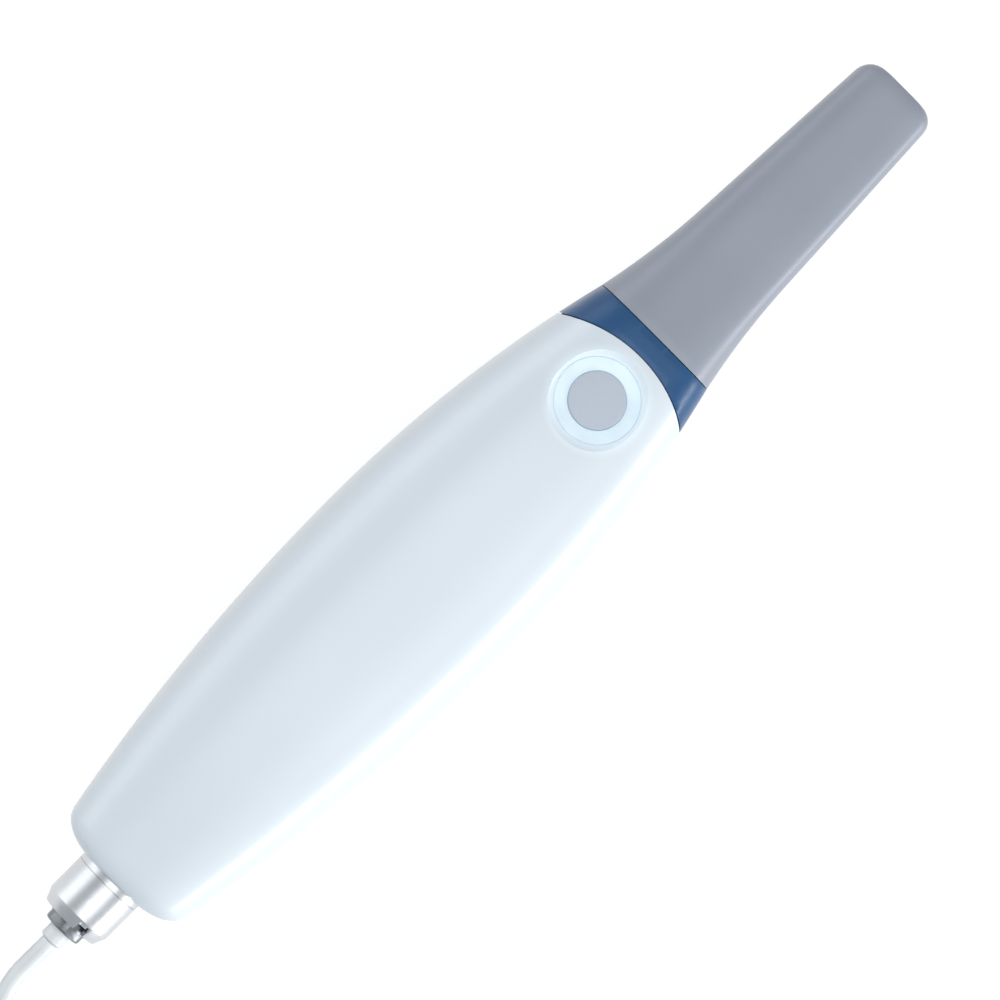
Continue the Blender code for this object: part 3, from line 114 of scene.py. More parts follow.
lens_data = bpy.data.cameras.new("studio_camera")
lens_data.sensor_width = 36.0
lens_data.lens = lens_data.sensor_width * CAMERA_FAR / PICTURE_WIDTH
lens_data.clip_start, lens_data.clip_end = 0.05, 20.0
camera = bpy.data.objects.new("studio_camera", lens_data)
bpy.context.scene.collection.objects.link(camera)
camera.matrix_world = (
    Matrix.Translation(PICTURE_MIDDLE)
    @ Matrix.Rotation(-CAMERA_LEAN, 4, "X")
    @ Matrix.Rotation(-math.pi / 4, 4, "Z")
    @ Matrix.Translation((0, 0, CAMERA_FAR))
)
bpy.context.scene.camera = camera
print("lens:", round(lens_data.lens), "mm")

# %% [markdown]
# ## Small helpers for modelling by hand
# Each new piece starts from a primitive and is shaped in edit mode. Three jobs come back all the time,
# so each has a helper: keeping a finished piece's place in its mesh, cutting or joining with another
# piece, and turning a profile on a lathe.

# %% Helpers: deselect, settle, apply, cut
def only(piece):
    """Selects this piece alone and makes it active."""
    bpy.ops.object.select_all(action="DESELECT")
    piece.select_set(True)
    bpy.context.view_layer.objects.active = piece
    return piece


def settle(piece, place=None):
    """Moves a piece's place into its mesh, so that its object sits at the origin."""
    if place is not None:
        piece.matrix_world = place
    only(piece)
    bpy.ops.object.transform_apply(location=True, rotation=True, scale=True)
    return piece


def apply_modifiers(piece):
    """Makes a piece's modifiers part of its mesh, in their order."""
    only(piece)
    for step in list(piece.modifiers):
        bpy.ops.object.modifier_apply(modifier=step.name)
    return piece


def carve(piece, tool, operation="DIFFERENCE"):
    """Cuts a piece with a tool, or joins the tool to it, and throws the tool away."""
    step = piece.modifiers.new("carve", "BOOLEAN")
    step.operation, step.solver, step.object = operation, "EXACT", tool
    apply_modifiers(piece)
    bpy.data.objects.remove(tool)
    return piece


def soften(piece, width, segments=2, angle=35):
    """Breaks the sharp edges with a small bevel."""
    step = piece.modifiers.new("soften", "BEVEL")
    step.width, step.segments = width, segments
    step.limit_method, step.angle_limit = "ANGLE", math.radians(angle)
    step.harden_normals = False
    return apply_modifiers(piece)


def smooth(piece, angle=35):
    """Shades a piece smooth, but keeps the edges that are sharper than this angle."""
    only(piece)
    bpy.ops.object.shade_smooth_by_angle(angle=math.radians(angle))
    return piece


def outward(piece):
    """Merges doubles and points every face outwards."""
    only(piece)
    bpy.ops.object.mode_set(mode="EDIT")
    bpy.ops.mesh.select_all(action="SELECT")
    bpy.ops.mesh.remove_doubles(threshold=0.000002)
    bpy.ops.mesh.normals_make_consistent(inside=False)
    bpy.ops.object.mode_set(mode="OBJECT")
    return piece


def box_tool(name, size, centre, place=None, edge=0.0):
    """A cube at its size and place, with its edges rounded if asked."""
    bpy.ops.object.select_all(action="DESELECT")
    bpy.ops.mesh.primitive_cube_add(size=1.0, location=centre)
    made = bpy.context.object
    made.name = name
    made.scale = size
    settle(made)
    if edge:
        soften(made, edge, 3)
    return settle(made, place) if place is not None else made


print("helpers ready")

# %% [markdown]
# ## The lathe
# Knobs, rings, nuts and plugs are turned. Their profile is drawn as a ring of points in a half plane,
# and the spin operator sweeps it round. A profile that starts and ends on the axis has no edge along
# it, so that the poles close when the doubles are merged.

# %% Helper: turned pieces
def turned(name, profile, place, steps=96):
    """A closed turned piece. The profile is (radius, height) about its own Z."""
    bpy.ops.object.select_all(action="DESELECT")
    bpy.ops.mesh.primitive_circle_add(vertices=len(profile), radius=0.01)
    made = bpy.context.object
    made.name = name
    for point, (radius, height) in zip(made.data.vertices, profile):
        point.co = (radius, 0.0, height)
    bpy.ops.object.mode_set(mode="EDIT")
    on_axis = [k for k, (radius, _) in enumerate(profile) if radius == 0.0]
    if len(on_axis) == 2:
        sheet = bmesh.from_edit_mesh(made.data)
        sheet.verts.ensure_lookup_table()
        for edge in list(sheet.edges):
            if {edge.verts[0].index, edge.verts[1].index} == set(on_axis):
                sheet.edges.remove(edge)
        bmesh.update_edit_mesh(made.data)
    bpy.ops.mesh.select_all(action="SELECT")
    bpy.ops.mesh.spin(steps=steps, angle=math.tau, center=(0, 0, 0), axis=(0, 0, 1), dupli=False)
    bpy.ops.object.mode_set(mode="OBJECT")
    return settle(outward(made), place)


def along_x(x=0.0):
    """The place of a turned piece whose own Z lies along the handle's axis."""
    return Matrix.Translation((x, 0, AXIS_Z)) @ Matrix.Rotation(math.pi / 2, 4, "Y")


def rounded(profile, corner, radius, steps=4):
    """Replaces one corner of a profile by a small curve."""
    here = Vector(profile[corner])
    before = (Vector(profile[corner - 1]) - here).normalized() * radius
    after = (Vector(profile[(corner + 1) % len(profile)]) - here).normalized() * radius
    arc = []
    for k in range(steps + 1):
        t = k / steps
        arc.append(tuple(here + before * (1 - t) ** 2 + after * t**2))
    return profile[:corner] + arc + profile[corner + 1 :]


print("lathe ready")

# %% [markdown]
# ## The route of the lead
# The lead is one real length, about two metres, and a picture from above shows only its first
# centimetre and a half. The rest is put away as one would do it on a bench: wound into a neat round
# coil with a tie. Each turn lies a diameter from the next, and the lead steps from one turn to the
# next over a quarter of a turn, where no other turn is in its way. The route is worked out as points,
# because a cord is better described by where it lies than by operators.

# %% The lead's route, point by point
LEAD_R = 0.0020
PITCH = 0.00415  # from one turn to the next
COIL_X, COIL_Y, COIL_R = -0.1660, 0.0040, 0.0230
TURN_RADII = [COIL_R + (k - 1.5) * PITCH for k in range(4)]
LAYERS = 5
ENTRY = 2  # the lead comes in over this turn
COIL_FOOT = 0.0012
COIL_REACH = COIL_R + 2 * PITCH
COIL_TURNS = 14
LEAD_FROM = -0.1126
BEND_FROM = LEAD_FROM - 0.0080
TAIL_END = -0.1936
RUN_STEPS, TURN_DEGREES, TAIL_STEPS = 24, 12, 9


def ease(share):
    """A smooth step from 0 to 1."""
    return (1 - math.cos(math.pi * min(max(share, 0.0), 1.0))) / 2


def layer_z(layer):
    """The height of a layer of turns, counted from the floor as 0."""
    return COIL_FOOT + LEAD_R + layer * PITCH


def stepped(moves, degrees):
    """The value at this turn angle, when it eases through each (start, end, from, to)."""
    value = moves[0][2]
    for start, end, old, new in moves:
        if degrees >= start:
            value = old + (new - old) * ease((degrees - start) / (end - start))
    return value


across = [(180, 240, 2, 3)]  # from turn angle, to turn angle, from this turn, to that one
down = [(210, 280, 4, 3), (1440, 1530, 3, 2), (2700, 2790, 2, 1), (3960, 4050, 1, 0)]
inwards, outwards = (3, 2, 1, 0), (0, 1, 2, 3)
for first, order in ((450, inwards), (1710, outwards), (2970, inwards), (4230, outwards)):
    for k in range(3):
        across.append((first + 360 * k, first + 360 * k + 90, order[k], order[k + 1]))

lead_route = []
for k in range(RUN_STEPS):
    x = LEAD_FROM + (COIL_X - LEAD_FROM) * k / RUN_STEPS
    aside = ease((BEND_FROM - x) / (BEND_FROM - COIL_X))
    sink = ease((LEAD_FROM - x) / (LEAD_FROM - COIL_X - COIL_REACH))
    y = (COIL_Y - TURN_RADII[ENTRY]) * aside
    lead_route.append((x, y, AXIS_Z + (layer_z(LAYERS - 1) - AXIS_Z) * sink))
for degrees in range(0, 360 * COIL_TURNS + 1, TURN_DEGREES):
    radius = TURN_RADII[0] + PITCH * stepped(across, degrees)
    turn = math.radians(degrees)
    x, y = COIL_X - radius * math.sin(turn), COIL_Y - radius * math.cos(turn)
    lead_route.append((x, y, layer_z(0) + PITCH * stepped(down, degrees)))
for k in range(1, TAIL_STEPS + 1):
    x = COIL_X + (TAIL_END - COIL_X) * k / TAIL_STEPS
    lead_route.append((x, COIL_Y - TURN_RADII[3], layer_z(0)))

# %% [markdown]
# A curve with a round bevel carries the route, and it is turned into a mesh tube at the end, so that
# it exports like any other piece. The button's spring is made in the same way later.

# %% The lead as a tube
def tube_along(name, route, radius):
    """A round tube along a route of points, closed at both ends."""
    line = bpy.data.curves.new(name, "CURVE")
    line.dimensions = "3D"
    line.bevel_depth, line.bevel_resolution, line.use_fill_caps = radius, 3, True
    spline = line.splines.new("POLY")
    spline.points.add(len(route) - 1)
    for spot, point in zip(spline.points, route):
        spot.co = (*point, 1)
    made = bpy.data.objects.new(name, line)
    bpy.context.scene.collection.objects.link(made)
    only(made)
    bpy.ops.object.convert(target="MESH")
    made = bpy.context.object
    made.name = name
    return smooth(outward(made), 60)


lead = tube_along("lead", lead_route, LEAD_R)
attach(lead, "plug")
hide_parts("cable", "cable_coil", "cable_tail")
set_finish(lead, "cable_white")
print("lead tube:", len(lead.data.polygons), "faces")

# %% [markdown]
# ## The handle's skin
# The real handle is two moulded shells whose outer surface is one smooth body. It could be sculpted
# from a sphere, but a moulded form is drawn as sections along its length. So a plain ring is added and
# extruded station by station, and then each ring is pushed to its own section: a squarish oval, wider
# than it is high. The points of a section are spread evenly along it, which keeps the gloss even.

# %% Helper: a skin extruded through sections
SIDES = 144


def spread(points, count):
    """The same closed outline with its points spread evenly, from the same first point."""
    loop = points + points[:1]
    lengths = [0.0]
    for a, b in zip(loop, loop[1:]):
        lengths.append(lengths[-1] + math.dist(a, b))
    even, k = [], 0
    for step in range(count):
        goal = lengths[-1] * step / count
        while lengths[k + 1] < goal:
            k += 1
        share = (goal - lengths[k]) / (lengths[k + 1] - lengths[k])
        even.append(tuple(a + (b - a) * share for a, b in zip(loop[k], loop[k + 1])))
    return even


def oval(half_width, crown, belly, powers, floor=None):
    """A squarish oval section as (y, z) about the axis. Powers are those above and below it."""
    points = []
    for k in range(4 * SIDES):
        turn = math.tau * k / (4 * SIDES)
        y, z = math.cos(turn), math.sin(turn)
        height, power = (crown, powers[0]) if z >= 0 else (belly, powers[1])
        up = height * math.copysign(abs(z) ** (2 / power), z)
        if floor is not None:
            up = max(up, floor)
        points.append((half_width * math.copysign(abs(y) ** (2 / power), y), up))
    return points


def skin(name, rings):
    """A skin through these rings of points, capped at both ends."""
    bpy.ops.object.select_all(action="DESELECT")
    bpy.ops.mesh.primitive_circle_add(vertices=SIDES, radius=1.0)
    made = bpy.context.object
    made.name = name
    bpy.ops.object.mode_set(mode="EDIT")
    bpy.ops.mesh.select_all(action="SELECT")
    bpy.ops.mesh.edge_face_add()
    for _ in rings[1:]:
        bpy.ops.mesh.extrude_region_move(TRANSFORM_OT_translate={"value": (0, 0, 1)})
    bpy.ops.object.mode_set(mode="OBJECT")
    for point in made.data.vertices:
        row = round(point.co.z)
        turn = math.atan2(point.co.y, point.co.x) % math.tau
        point.co = rings[row][round(turn / math.tau * SIDES) % SIDES]
    return outward(made)


print("skin helper ready")

# %% [markdown]
# The handle's three half-sizes swell from the ends to the widest station as parabolas. The rear end is
# rounded off over 5 mm by a quarter of an ellipse, which pulls the sides in more than the crown, and
# the belly's lowest millimetre and a half is cut to a flat land to lie on.

# %% The handle's sections
CROWN_POWERS = (3.3, 2.4)  # how square the section is, above and below the axis
HALF_WIDTH = (0.0252, 0.0161, 0.0161)  # at the widest place, at the rear and at the front
CROWN = (0.0220, 0.0130, 0.0150)
BELLY = (0.0244, 0.0135, 0.0132)


def swell(x, most, rear, front):
    """One half-size of the handle at x: a parabola from its widest place to either end."""
    reach, edge = (REAR, rear) if x < 0 else (SEAT, front)
    return most - (most - edge) * (x / reach) ** 2


def round_off(distance, length, pull):
    """How far a rounded end of this length pulls the outline in, this far from the end."""
    if length <= 0 or distance >= length:
        return 0.0
    return pull * (1 - math.sqrt(1 - (1 - max(distance, 0.0) / length) ** 2))


def handle_ring(x, inset=0.0):
    """The handle's section at x, or one that lies this far under its surface."""
    to_end, length = x + REAR - inset, REAR_ROUND - inset
    wide = inset + round_off(to_end, length, REAR_PULL_WIDE - inset)
    high = inset + round_off(to_end, length, REAR_PULL_HIGH - inset)
    section = oval(
        swell(x, *HALF_WIDTH) - wide,
        swell(x, *CROWN) - high,
        swell(x, *BELLY) - high,
        CROWN_POWERS,
        inset - AXIS_Z,
    )
    return spread([(x, y, AXIS_Z + z) for y, z in section], SIDES)


ROUND_STEPS = (0.0, 0.03, 0.1, 0.2, 0.35, 0.5, 0.7, 1.0)


def places_along(first, last, pitch):
    """Evenly spaced places from first to last, about this far apart."""
    count = max(round((last - first) / pitch), 1)
    return [first + (last - first) * k / count for k in range(count + 1)]


def handle_skin(name, inset, last):
    """The handle's skin from its rear to this place, with closer rings round the rear's curve."""
    first = -REAR + inset
    soft = REAR_ROUND - inset
    places = [first + soft * step for step in ROUND_STEPS[:-1]]
    places += places_along(first + soft, last, STATION)
    return skin(name, [handle_ring(x, inset) for x in places])


def cut_off(piece, origin, normal):
    """Cuts away what lies beyond a plane, and leaves the cut open."""
    only(piece)
    bpy.ops.object.mode_set(mode="EDIT")
    bpy.ops.mesh.select_all(action="SELECT")
    bpy.ops.mesh.bisect(plane_co=origin, plane_no=normal, clear_outer=True, use_fill=False)
    bpy.ops.object.mode_set(mode="OBJECT")
    return piece


def thicken(piece, wall):
    """Gives an open skin its wall, inwards, with the edge closed."""
    step = piece.modifiers.new("wall", "SOLIDIFY")
    step.thickness, step.offset = wall, -1
    step.use_even_offset = True
    step.use_rim = True
    return apply_modifiers(piece)


print("widest:", round(2 * max(y for _, y, _ in handle_ring(0.0)) * 1000, 1), "mm")

# %% [markdown]
# ## The button's own space
# The button stands square to the crown, which already slopes down towards the tip here. So the button,
# its ring and the well they sit in are made upright about the origin, and then placed by one matrix.

# %% The button's place
BUTTON_X = 0.0559
BUTTON_R, RING_R = 0.00645, 0.0094
slope = -2 * (CROWN[0] - CROWN[2]) * BUTTON_X / SEAT**2
lean = -math.atan(slope)
crown_point = (BUTTON_X, 0, AXIS_Z + swell(BUTTON_X, *CROWN))
button_place = Matrix.Translation(crown_point) @ Matrix.Rotation(lean, 4, "Y")
print("the button leans", round(math.degrees(lean), 1), "degrees")

# %% [markdown]
# ## The upper shell
# A copy of the skin is cut along the joint and given its wall. Its front edge is an arc that curves
# round the button, cut by a tall drum. The well for the button is a moulded cup: it is joined on
# from inside, and a turned tool then cuts the soft dish, the ring's seat and the bore through both at
# once. The dish's edge rolls over in a small arc, as a moulded one does.

# %% The shells' cutting tools
def copy_of(piece, name):
    """A copy with a mesh of its own."""
    made = piece.copy()
    made.data = piece.data.copy()
    made.name = name
    bpy.context.scene.collection.objects.link(made)
    return made


def seam_drum(offset=0.0):
    """A tall drum whose front is the seam's arc, moved forward by offset."""
    bpy.ops.object.select_all(action="DESELECT")
    bpy.ops.mesh.primitive_cylinder_add(
        vertices=360, radius=SEAM_R + offset, depth=0.2, location=(SEAM_X - SEAM_R, 0, 0)
    )
    return settle(bpy.context.object)


def seam_front():
    """All that lies ahead of the seam."""
    ahead = box_tool("ahead", (0.2, 0.2, 0.15), (SEAM_X - SEAM_R + 0.1, 0, 0))
    return carve(ahead, seam_drum())


SOCKET_BORE = 0.0063
bore_profile = [(0, 0.01), (SOCKET_BORE, 0.01), (SOCKET_BORE, -0.01), (0, -0.01)]
bore = turned("bore", bore_profile, along_x(-REAR))
print("bore:", round(2000 * SOCKET_BORE, 1), "mm wide")

# %% The dish and the well
DISH_R, DISH_DEPTH, DISH_ROLL = 0.0122, 0.0010, 0.00015
TOOL_R, TOOL_TOP = 0.0136, 0.0030
RING_TOP = -DISH_DEPTH
RING_UNDER = RING_TOP - 0.0017
RING_FOOT = RING_UNDER - 0.0014
GUIDE_R = BUTTON_R + GAP + 0.0011
WELL_WALL, WELL_FLOOR = 0.0012, 0.0013
WELL_FOOT = RING_UNDER - GAP - WELL_FLOOR


def dish_profile():
    """The dish rolls over from the crown, falls to the ring, and goes down its seat and bore."""
    seat = RING_R + GAP
    dish = [(0.0, TOOL_TOP), (TOOL_R, TOOL_TOP), (TOOL_R, 2 * DISH_ROLL)]
    for k in range(9):
        t = k / 8
        dish.append((DISH_R + (seat - DISH_R) * t, DISH_ROLL - (DISH_DEPTH + DISH_ROLL) * ease(t)))
    dish += [
        (seat, RING_UNDER - GAP),
        (GUIDE_R + GAP, RING_UNDER - GAP),
        (GUIDE_R + GAP, WELL_FOOT - WELL_FLOOR),
        (0.0, WELL_FOOT - WELL_FLOOR),
    ]
    return dish


well_r = RING_R + GAP + WELL_WALL
cup_top = RING_TOP - GAP
cup_profile = [(0, cup_top), (well_r, cup_top), (well_r, WELL_FOOT), (0, WELL_FOOT)]
print("the well is", round((cup_top - WELL_FOOT) * 1000, 1), "mm deep")

# %% The upper shell
handle_body = handle_skin("handle_body", 0.0, SEAT)
upper = copy_of(handle_body, "upper_housing")
cut_off(upper, (0, 0, AXIS_Z + GAP / 2), (0, 0, -1))
cut_off(upper, (SEAT - 0.001, 0, 0), (1, 0, 0))
thicken(upper, WALL)
carve(upper, turned("cup", cup_profile, button_place), "UNION")
carve(upper, turned("dish_tool", dish_profile(), button_place, 128))
carve(upper, copy_of(bore, "bore_copy"))
carve(upper, seam_front())
smooth(upper, 32)
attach(upper, "handle")
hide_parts("upper_shell")
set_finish(upper, "white_shell")
print("upper shell:", len(upper.data.polygons), "faces")

# %% [markdown]
# ## The lower shell
# The belly half could be modelled afresh, but cut from the same skin its edge meets the upper one all
# round. Its tongue laps up inside the upper shell, which keeps light and dust out of the joint. A
# second, smaller skin gives the tongue: it is cut to a low band, given its own wall and joined on.

# %% The lower shell
TONGUE_WALL, TONGUE_UP, TONGUE_DOWN = 0.0010, 0.0015, 0.0020
lower = copy_of(handle_body, "lower_housing")
cut_off(lower, (0, 0, AXIS_Z - GAP / 2), (0, 0, 1))
cut_off(lower, (SEAT - 0.001, 0, 0), (1, 0, 0))
thicken(lower, WALL)
tongue = handle_skin("tongue", WALL - TONGUE_WALL, SEAT - 0.002)
cut_off(tongue, (SEAT - 0.003, 0, 0), (1, 0, 0))
cut_off(tongue, (0, 0, AXIS_Z + TONGUE_UP), (0, 0, 1))
cut_off(tongue, (0, 0, AXIS_Z - TONGUE_DOWN), (0, 0, -1))
thicken(tongue, TONGUE_WALL)
carve(lower, tongue, "UNION")
carve(lower, bore)
carve(lower, seam_front())
smooth(lower, 32)
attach(lower, "handle")
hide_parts("lower_shell")
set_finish(lower, "white_shell")
print("lower shell:", len(lower.data.polygons), "faces")

# %% [markdown]
# ## The tip's sections
# The tip, the snout inside it and the collar's mouth share one family of sections. It narrows evenly
# towards the end and gets squarer over the flare. The snout is the same section without the flare,
# smaller by the tip's wall and some play, so the two fit at every place along them.

# %% Helpers: the tip's and the snout's sections
TIP_POWERS = (4.4, 3.4)
TIP_WIDTHS, TIP_CROWNS, TIP_BELLIES = (0.0138, 0.0099), (0.0127, 0.0085), (0.0109, 0.0085)


def tip_sizes(x, flared):
    """Half width, crown and belly at x, which go evenly from base to end, and the powers."""
    along = min(max((x - SEAT) / TIP_LENGTH, 0.0), 1.0)
    beyond = max(x - SEAT, 0.0)
    flare = FLARE * max(1 - beyond / FLARE_LENGTH, 0.0) ** 2 if flared else 0.0
    ends = (TIP_WIDTHS, TIP_CROWNS, TIP_BELLIES)
    sizes = [base + (end - base) * along + flare for base, end in ends]
    square = min(beyond / FLARE_LENGTH, 1.0) if flared else 1.0
    powers = [start + (end - start) * square for start, end in zip(CROWN_POWERS, TIP_POWERS)]
    return sizes, powers


def tip_section(x, inset=0.0, flared=True, end_round=0.0):
    """The tip's section at x, this far under its surface, pulled in over its rounded end."""
    sizes, powers = tip_sizes(x, flared)
    to_end = SEAT + TIP_LENGTH - inset - x
    wide = inset + round_off(to_end, end_round, end_round)
    high = inset + round_off(to_end, end_round, end_round * TIP_ROUND_HIGH / TIP_ROUND)
    section = oval(sizes[0] - wide, sizes[1] - high, sizes[2] - high, powers)
    return spread([(x, y, AXIS_Z + z) for y, z in section], SIDES)


def snout_section(x, inset=0.0):
    """The snout's section at x: the tip's, inside its wall, with some play."""
    return tip_section(x, TIP_WALL + PLAY + inset, flared=False)


print("tip's base:", round(2 * (tip_sizes(SEAT, True)[0][0]) * 1000, 1), "mm wide")

# %% [markdown]
# ## The collar
# The blue collar carries on the same surface in front of the seam. It is cut from the same skin, so
# the two stay flush. The seam is a shallow groove: under it a lip of the collar meets the shells,
# or one could look down through the gap at the handle's sides. A spigot goes 2 mm into the shells
# and holds the collar, and the front closes round the snout with a face that the tip meets.

# %% The collar
COLLAR_FRONT = SEAT - GAP
FACE_THICK, FACE_INSET = 0.0030, 0.0004
GROOVE_DEPTH, LIP_FIT = 0.0006, 0.00003
SPIGOT_WALL, SPIGOT_REACH = 0.0014, 0.0020
layer_places = places_along(SEAM_X - 0.016, COLLAR_FRONT, STATION)


def collar_layer(name, inset, wall, drum_offset):
    """A layer under the collar's surface, cut at the rear by a drum this far from the seam."""
    made = skin(name, [handle_ring(x, inset) for x in layer_places])
    cut_off(made, (COLLAR_FRONT - 0.001, 0, 0), (1, 0, 0))
    cut_off(made, (SEAM_X - 0.015, 0, 0), (-1, 0, 0))
    return carve(thicken(made, wall), seam_drum(drum_offset))


collar = handle_body
collar.name = "front_collar"
cut_off(collar, (COLLAR_FRONT, 0, 0), (1, 0, 0))
cut_off(collar, (SEAM_X - 0.013, 0, 0), (-1, 0, 0))
thicken(collar, WALL)
carve(collar, seam_drum(GAP))
lip = collar_layer("lip", GROOVE_DEPTH, WALL - 2 * GROOVE_DEPTH, LIP_FIT)
carve(collar, lip, "UNION")
spigot = collar_layer("spigot", WALL + GAP, SPIGOT_WALL, -SPIGOT_REACH)
carve(collar, spigot, "UNION")
plate_places = (COLLAR_FRONT - FACE_THICK, COLLAR_FRONT)
carve(collar, skin("plate", [handle_ring(x, FACE_INSET) for x in plate_places]), "UNION")
mouth = skin("mouth", [snout_section(x, -GAP) for x in (SEAT - 0.006, SEAT + 0.003)])
carve(collar, mouth)
soften(collar, 0.00012, 2, 50)
smooth(collar, 32)
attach(collar, "handle")
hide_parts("collar")
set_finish(collar, "collar_blue")
print("collar:", len(collar.data.polygons), "faces")

# %% [markdown]
# ## The tip
# The tip is a thin grey sleeve, moulded in one piece: it flares at its base to meet the collar and
# tapers to a rounded end. It is made solid and hollowed with a smaller skin. The space behind the
# mirror stays solid, so that skin's far end is first cut to a 45 degree face. The window under the
# mirror comes last, with rounded corners: a cube whose four upright edges are bevelled cuts it.

# %% The tip
TIP_END = SEAT + TIP_LENGTH
END_STEPS = ROUND_STEPS[::-1]
MIRROR_DEPTH = 0.0013
WINDOW_SIZE, WINDOW_CORNER = (0.0155, 0.0140, 0.0200), 0.0020


def sleeve_places(last, end_round):
    """The places of the tip's rings, closer together round its end."""
    straight = places_along(SEAT - CLOSE_FIT, last - end_round, STATION)
    return straight + [last - end_round * k for k in END_STEPS[1:]]


tip_rings = [tip_section(x, 0.0, True, TIP_ROUND) for x in sleeve_places(TIP_END, TIP_ROUND)]
tip = skin("tip_sleeve", tip_rings)
hollow_round = TIP_ROUND - TIP_WALL
hollow_places = [SEAT - 0.002] + sleeve_places(TIP_END - TIP_WALL, hollow_round)
hollow = skin("hollow", [tip_section(x, TIP_WALL, True, hollow_round) for x in hollow_places])
ramp_at = Vector((MIRROR_X, 0, AXIS_Z)) + Vector((1, 0, 1)).normalized() * MIRROR_DEPTH
ramp_place = Matrix.Translation(ramp_at) @ Matrix.Rotation(-math.pi / 4, 4, "Y")
ramp = box_tool("ramp", (0.1, 0.1, 0.1), (0.05, 0, 0), ramp_place)
carve(hollow, ramp)
carve(tip, hollow)

window = box_tool("window", WINDOW_SIZE, (0, 0, 0))
only(window)
bpy.ops.object.mode_set(mode="EDIT")
sheet = bmesh.from_edit_mesh(window.data)
for edge in sheet.edges:
    edge.select_set(abs((edge.verts[0].co - edge.verts[1].co).z) > WINDOW_SIZE[2] / 2)
bmesh.update_edit_mesh(window.data)
bpy.ops.mesh.bevel(offset=WINDOW_CORNER, segments=6)
bpy.ops.object.mode_set(mode="OBJECT")
window_top = AXIS_Z - TIP_BELLIES[1] + TIP_WALL + GAP
settle(window, Matrix.Translation((MIRROR_X, 0, window_top - WINDOW_SIZE[2] / 2)))
carve(tip, window)
soften(tip, 0.00022, 2, 50)
smooth(tip, 32)
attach(tip, "tip")
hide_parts("tip_shell")
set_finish(tip, "tip_grey")
print("tip:", len(tip.data.polygons), "faces")

# %% [markdown]
# ## Snout, pane and grip band
# Under the tip the handle ends in a black hollow nose that carries the view forward. It is seen when
# the tip is pulled off. A nose could be lofted with its steps in one profile, but short skins of the
# same section are easier to place: one is joined on as the flange, and others cut the bore, the
# rebate for the glass pane and the groove for the rubber band that holds the tip.

# %% The snout
SNOUT_REAR, SNOUT_FRONT, SNOUT_WALL = 0.0648, 0.1205, 0.0013
FLANGE_LONG, FLANGE_OUT = 0.0020, 0.0011
PANE_STEP, PANE_THICK = 0.0018, 0.0012
HALF_WALL = 0.0006  # the depth of the pane's rebate and of the band's groove
GRIP_FROM, GRIP_TO = SEAT + 0.0040, SEAT + 0.0060


def nose_skin(name, first, last, inset=0.0):
    """A length of the snout's section, as a solid to keep or to cut with."""
    return skin(name, [snout_section(x, inset) for x in places_along(first, last, 0.0060)])


nose = nose_skin("optical_snout", SNOUT_REAR, SNOUT_FRONT)
carve(nose, nose_skin("flange", SNOUT_REAR, SNOUT_REAR + FLANGE_LONG, -FLANGE_OUT), "UNION")
carve(nose, nose_skin("bore", SNOUT_REAR - 0.003, SNOUT_FRONT + 0.003, SNOUT_WALL))
carve(nose, nose_skin("rebate", SNOUT_FRONT - PANE_STEP, SNOUT_FRONT + 0.003, HALF_WALL))
groove = nose_skin("groove", GRIP_FROM, GRIP_TO, -TIP_WALL)
carve(groove, nose_skin("core", GRIP_FROM - 0.002, GRIP_TO + 0.002, HALF_WALL))
carve(nose, groove)
smooth(nose, 32)
print("snout hollowed,", round(1000 * (SNOUT_FRONT - SNOUT_REAR), 1), "mm long")

# %% The pane and the grip band
pane_from = SNOUT_FRONT - PANE_STEP + GAP
pane = nose_skin("snout_pane", pane_from, pane_from + PANE_THICK, HALF_WALL + GAP)
soften(pane, 0.00015, 2, 50)
smooth(pane, 32)
band = nose_skin("grip_band", GRIP_FROM + GAP, GRIP_TO - GAP, -PLAY / 4)
carve(band, nose_skin("core", GRIP_FROM - 0.002, GRIP_TO + 0.002, HALF_WALL - GAP))
soften(band, 0.00012, 2, 50)
smooth(band, 32)
for piece, cad_name, finish_slot in (
    (nose, "snout", "black_plastic"),
    (pane, "snout_window", "optical_glass"),
    (band, "tip_grip_ring", "rubber"),
):
    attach(piece, "handle")
    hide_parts(cad_name)
    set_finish(piece, finish_slot)
    print(piece.name, len(piece.data.polygons), "faces")

# %% [markdown]
# ## Ring and button
# The translucent ring slopes gently down to the button, and its skirt leads the light up from the
# board. The button is a thin cap with a faint dome, a skirt and a stop flange. Both are turned, with
# their edges broken by small curves, because a perfectly sharp edge catches no light.

# %% The light ring
EDGE_ROUND = 0.00012
ring_out, ring_in = RING_R + GAP - CLOSE_FIT, BUTTON_R + CLOSE_FIT
ring_profile = [
    (ring_out, RING_TOP),
    (ring_out, RING_UNDER),
    (GUIDE_R, RING_UNDER),
    (GUIDE_R, RING_FOOT),
    (ring_in, RING_FOOT),
    (ring_in, RING_TOP - 0.00025),
]
ring_profile = rounded(ring_profile, 5, EDGE_ROUND)
ring_profile = rounded(ring_profile, 0, EDGE_ROUND)
ring = smooth(turned("glow_ring", ring_profile, button_place), 40)
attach(ring, "handle")
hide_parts("light_ring")
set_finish(ring, "light_guide")
print("ring:", len(ring.data.polygons), "faces")

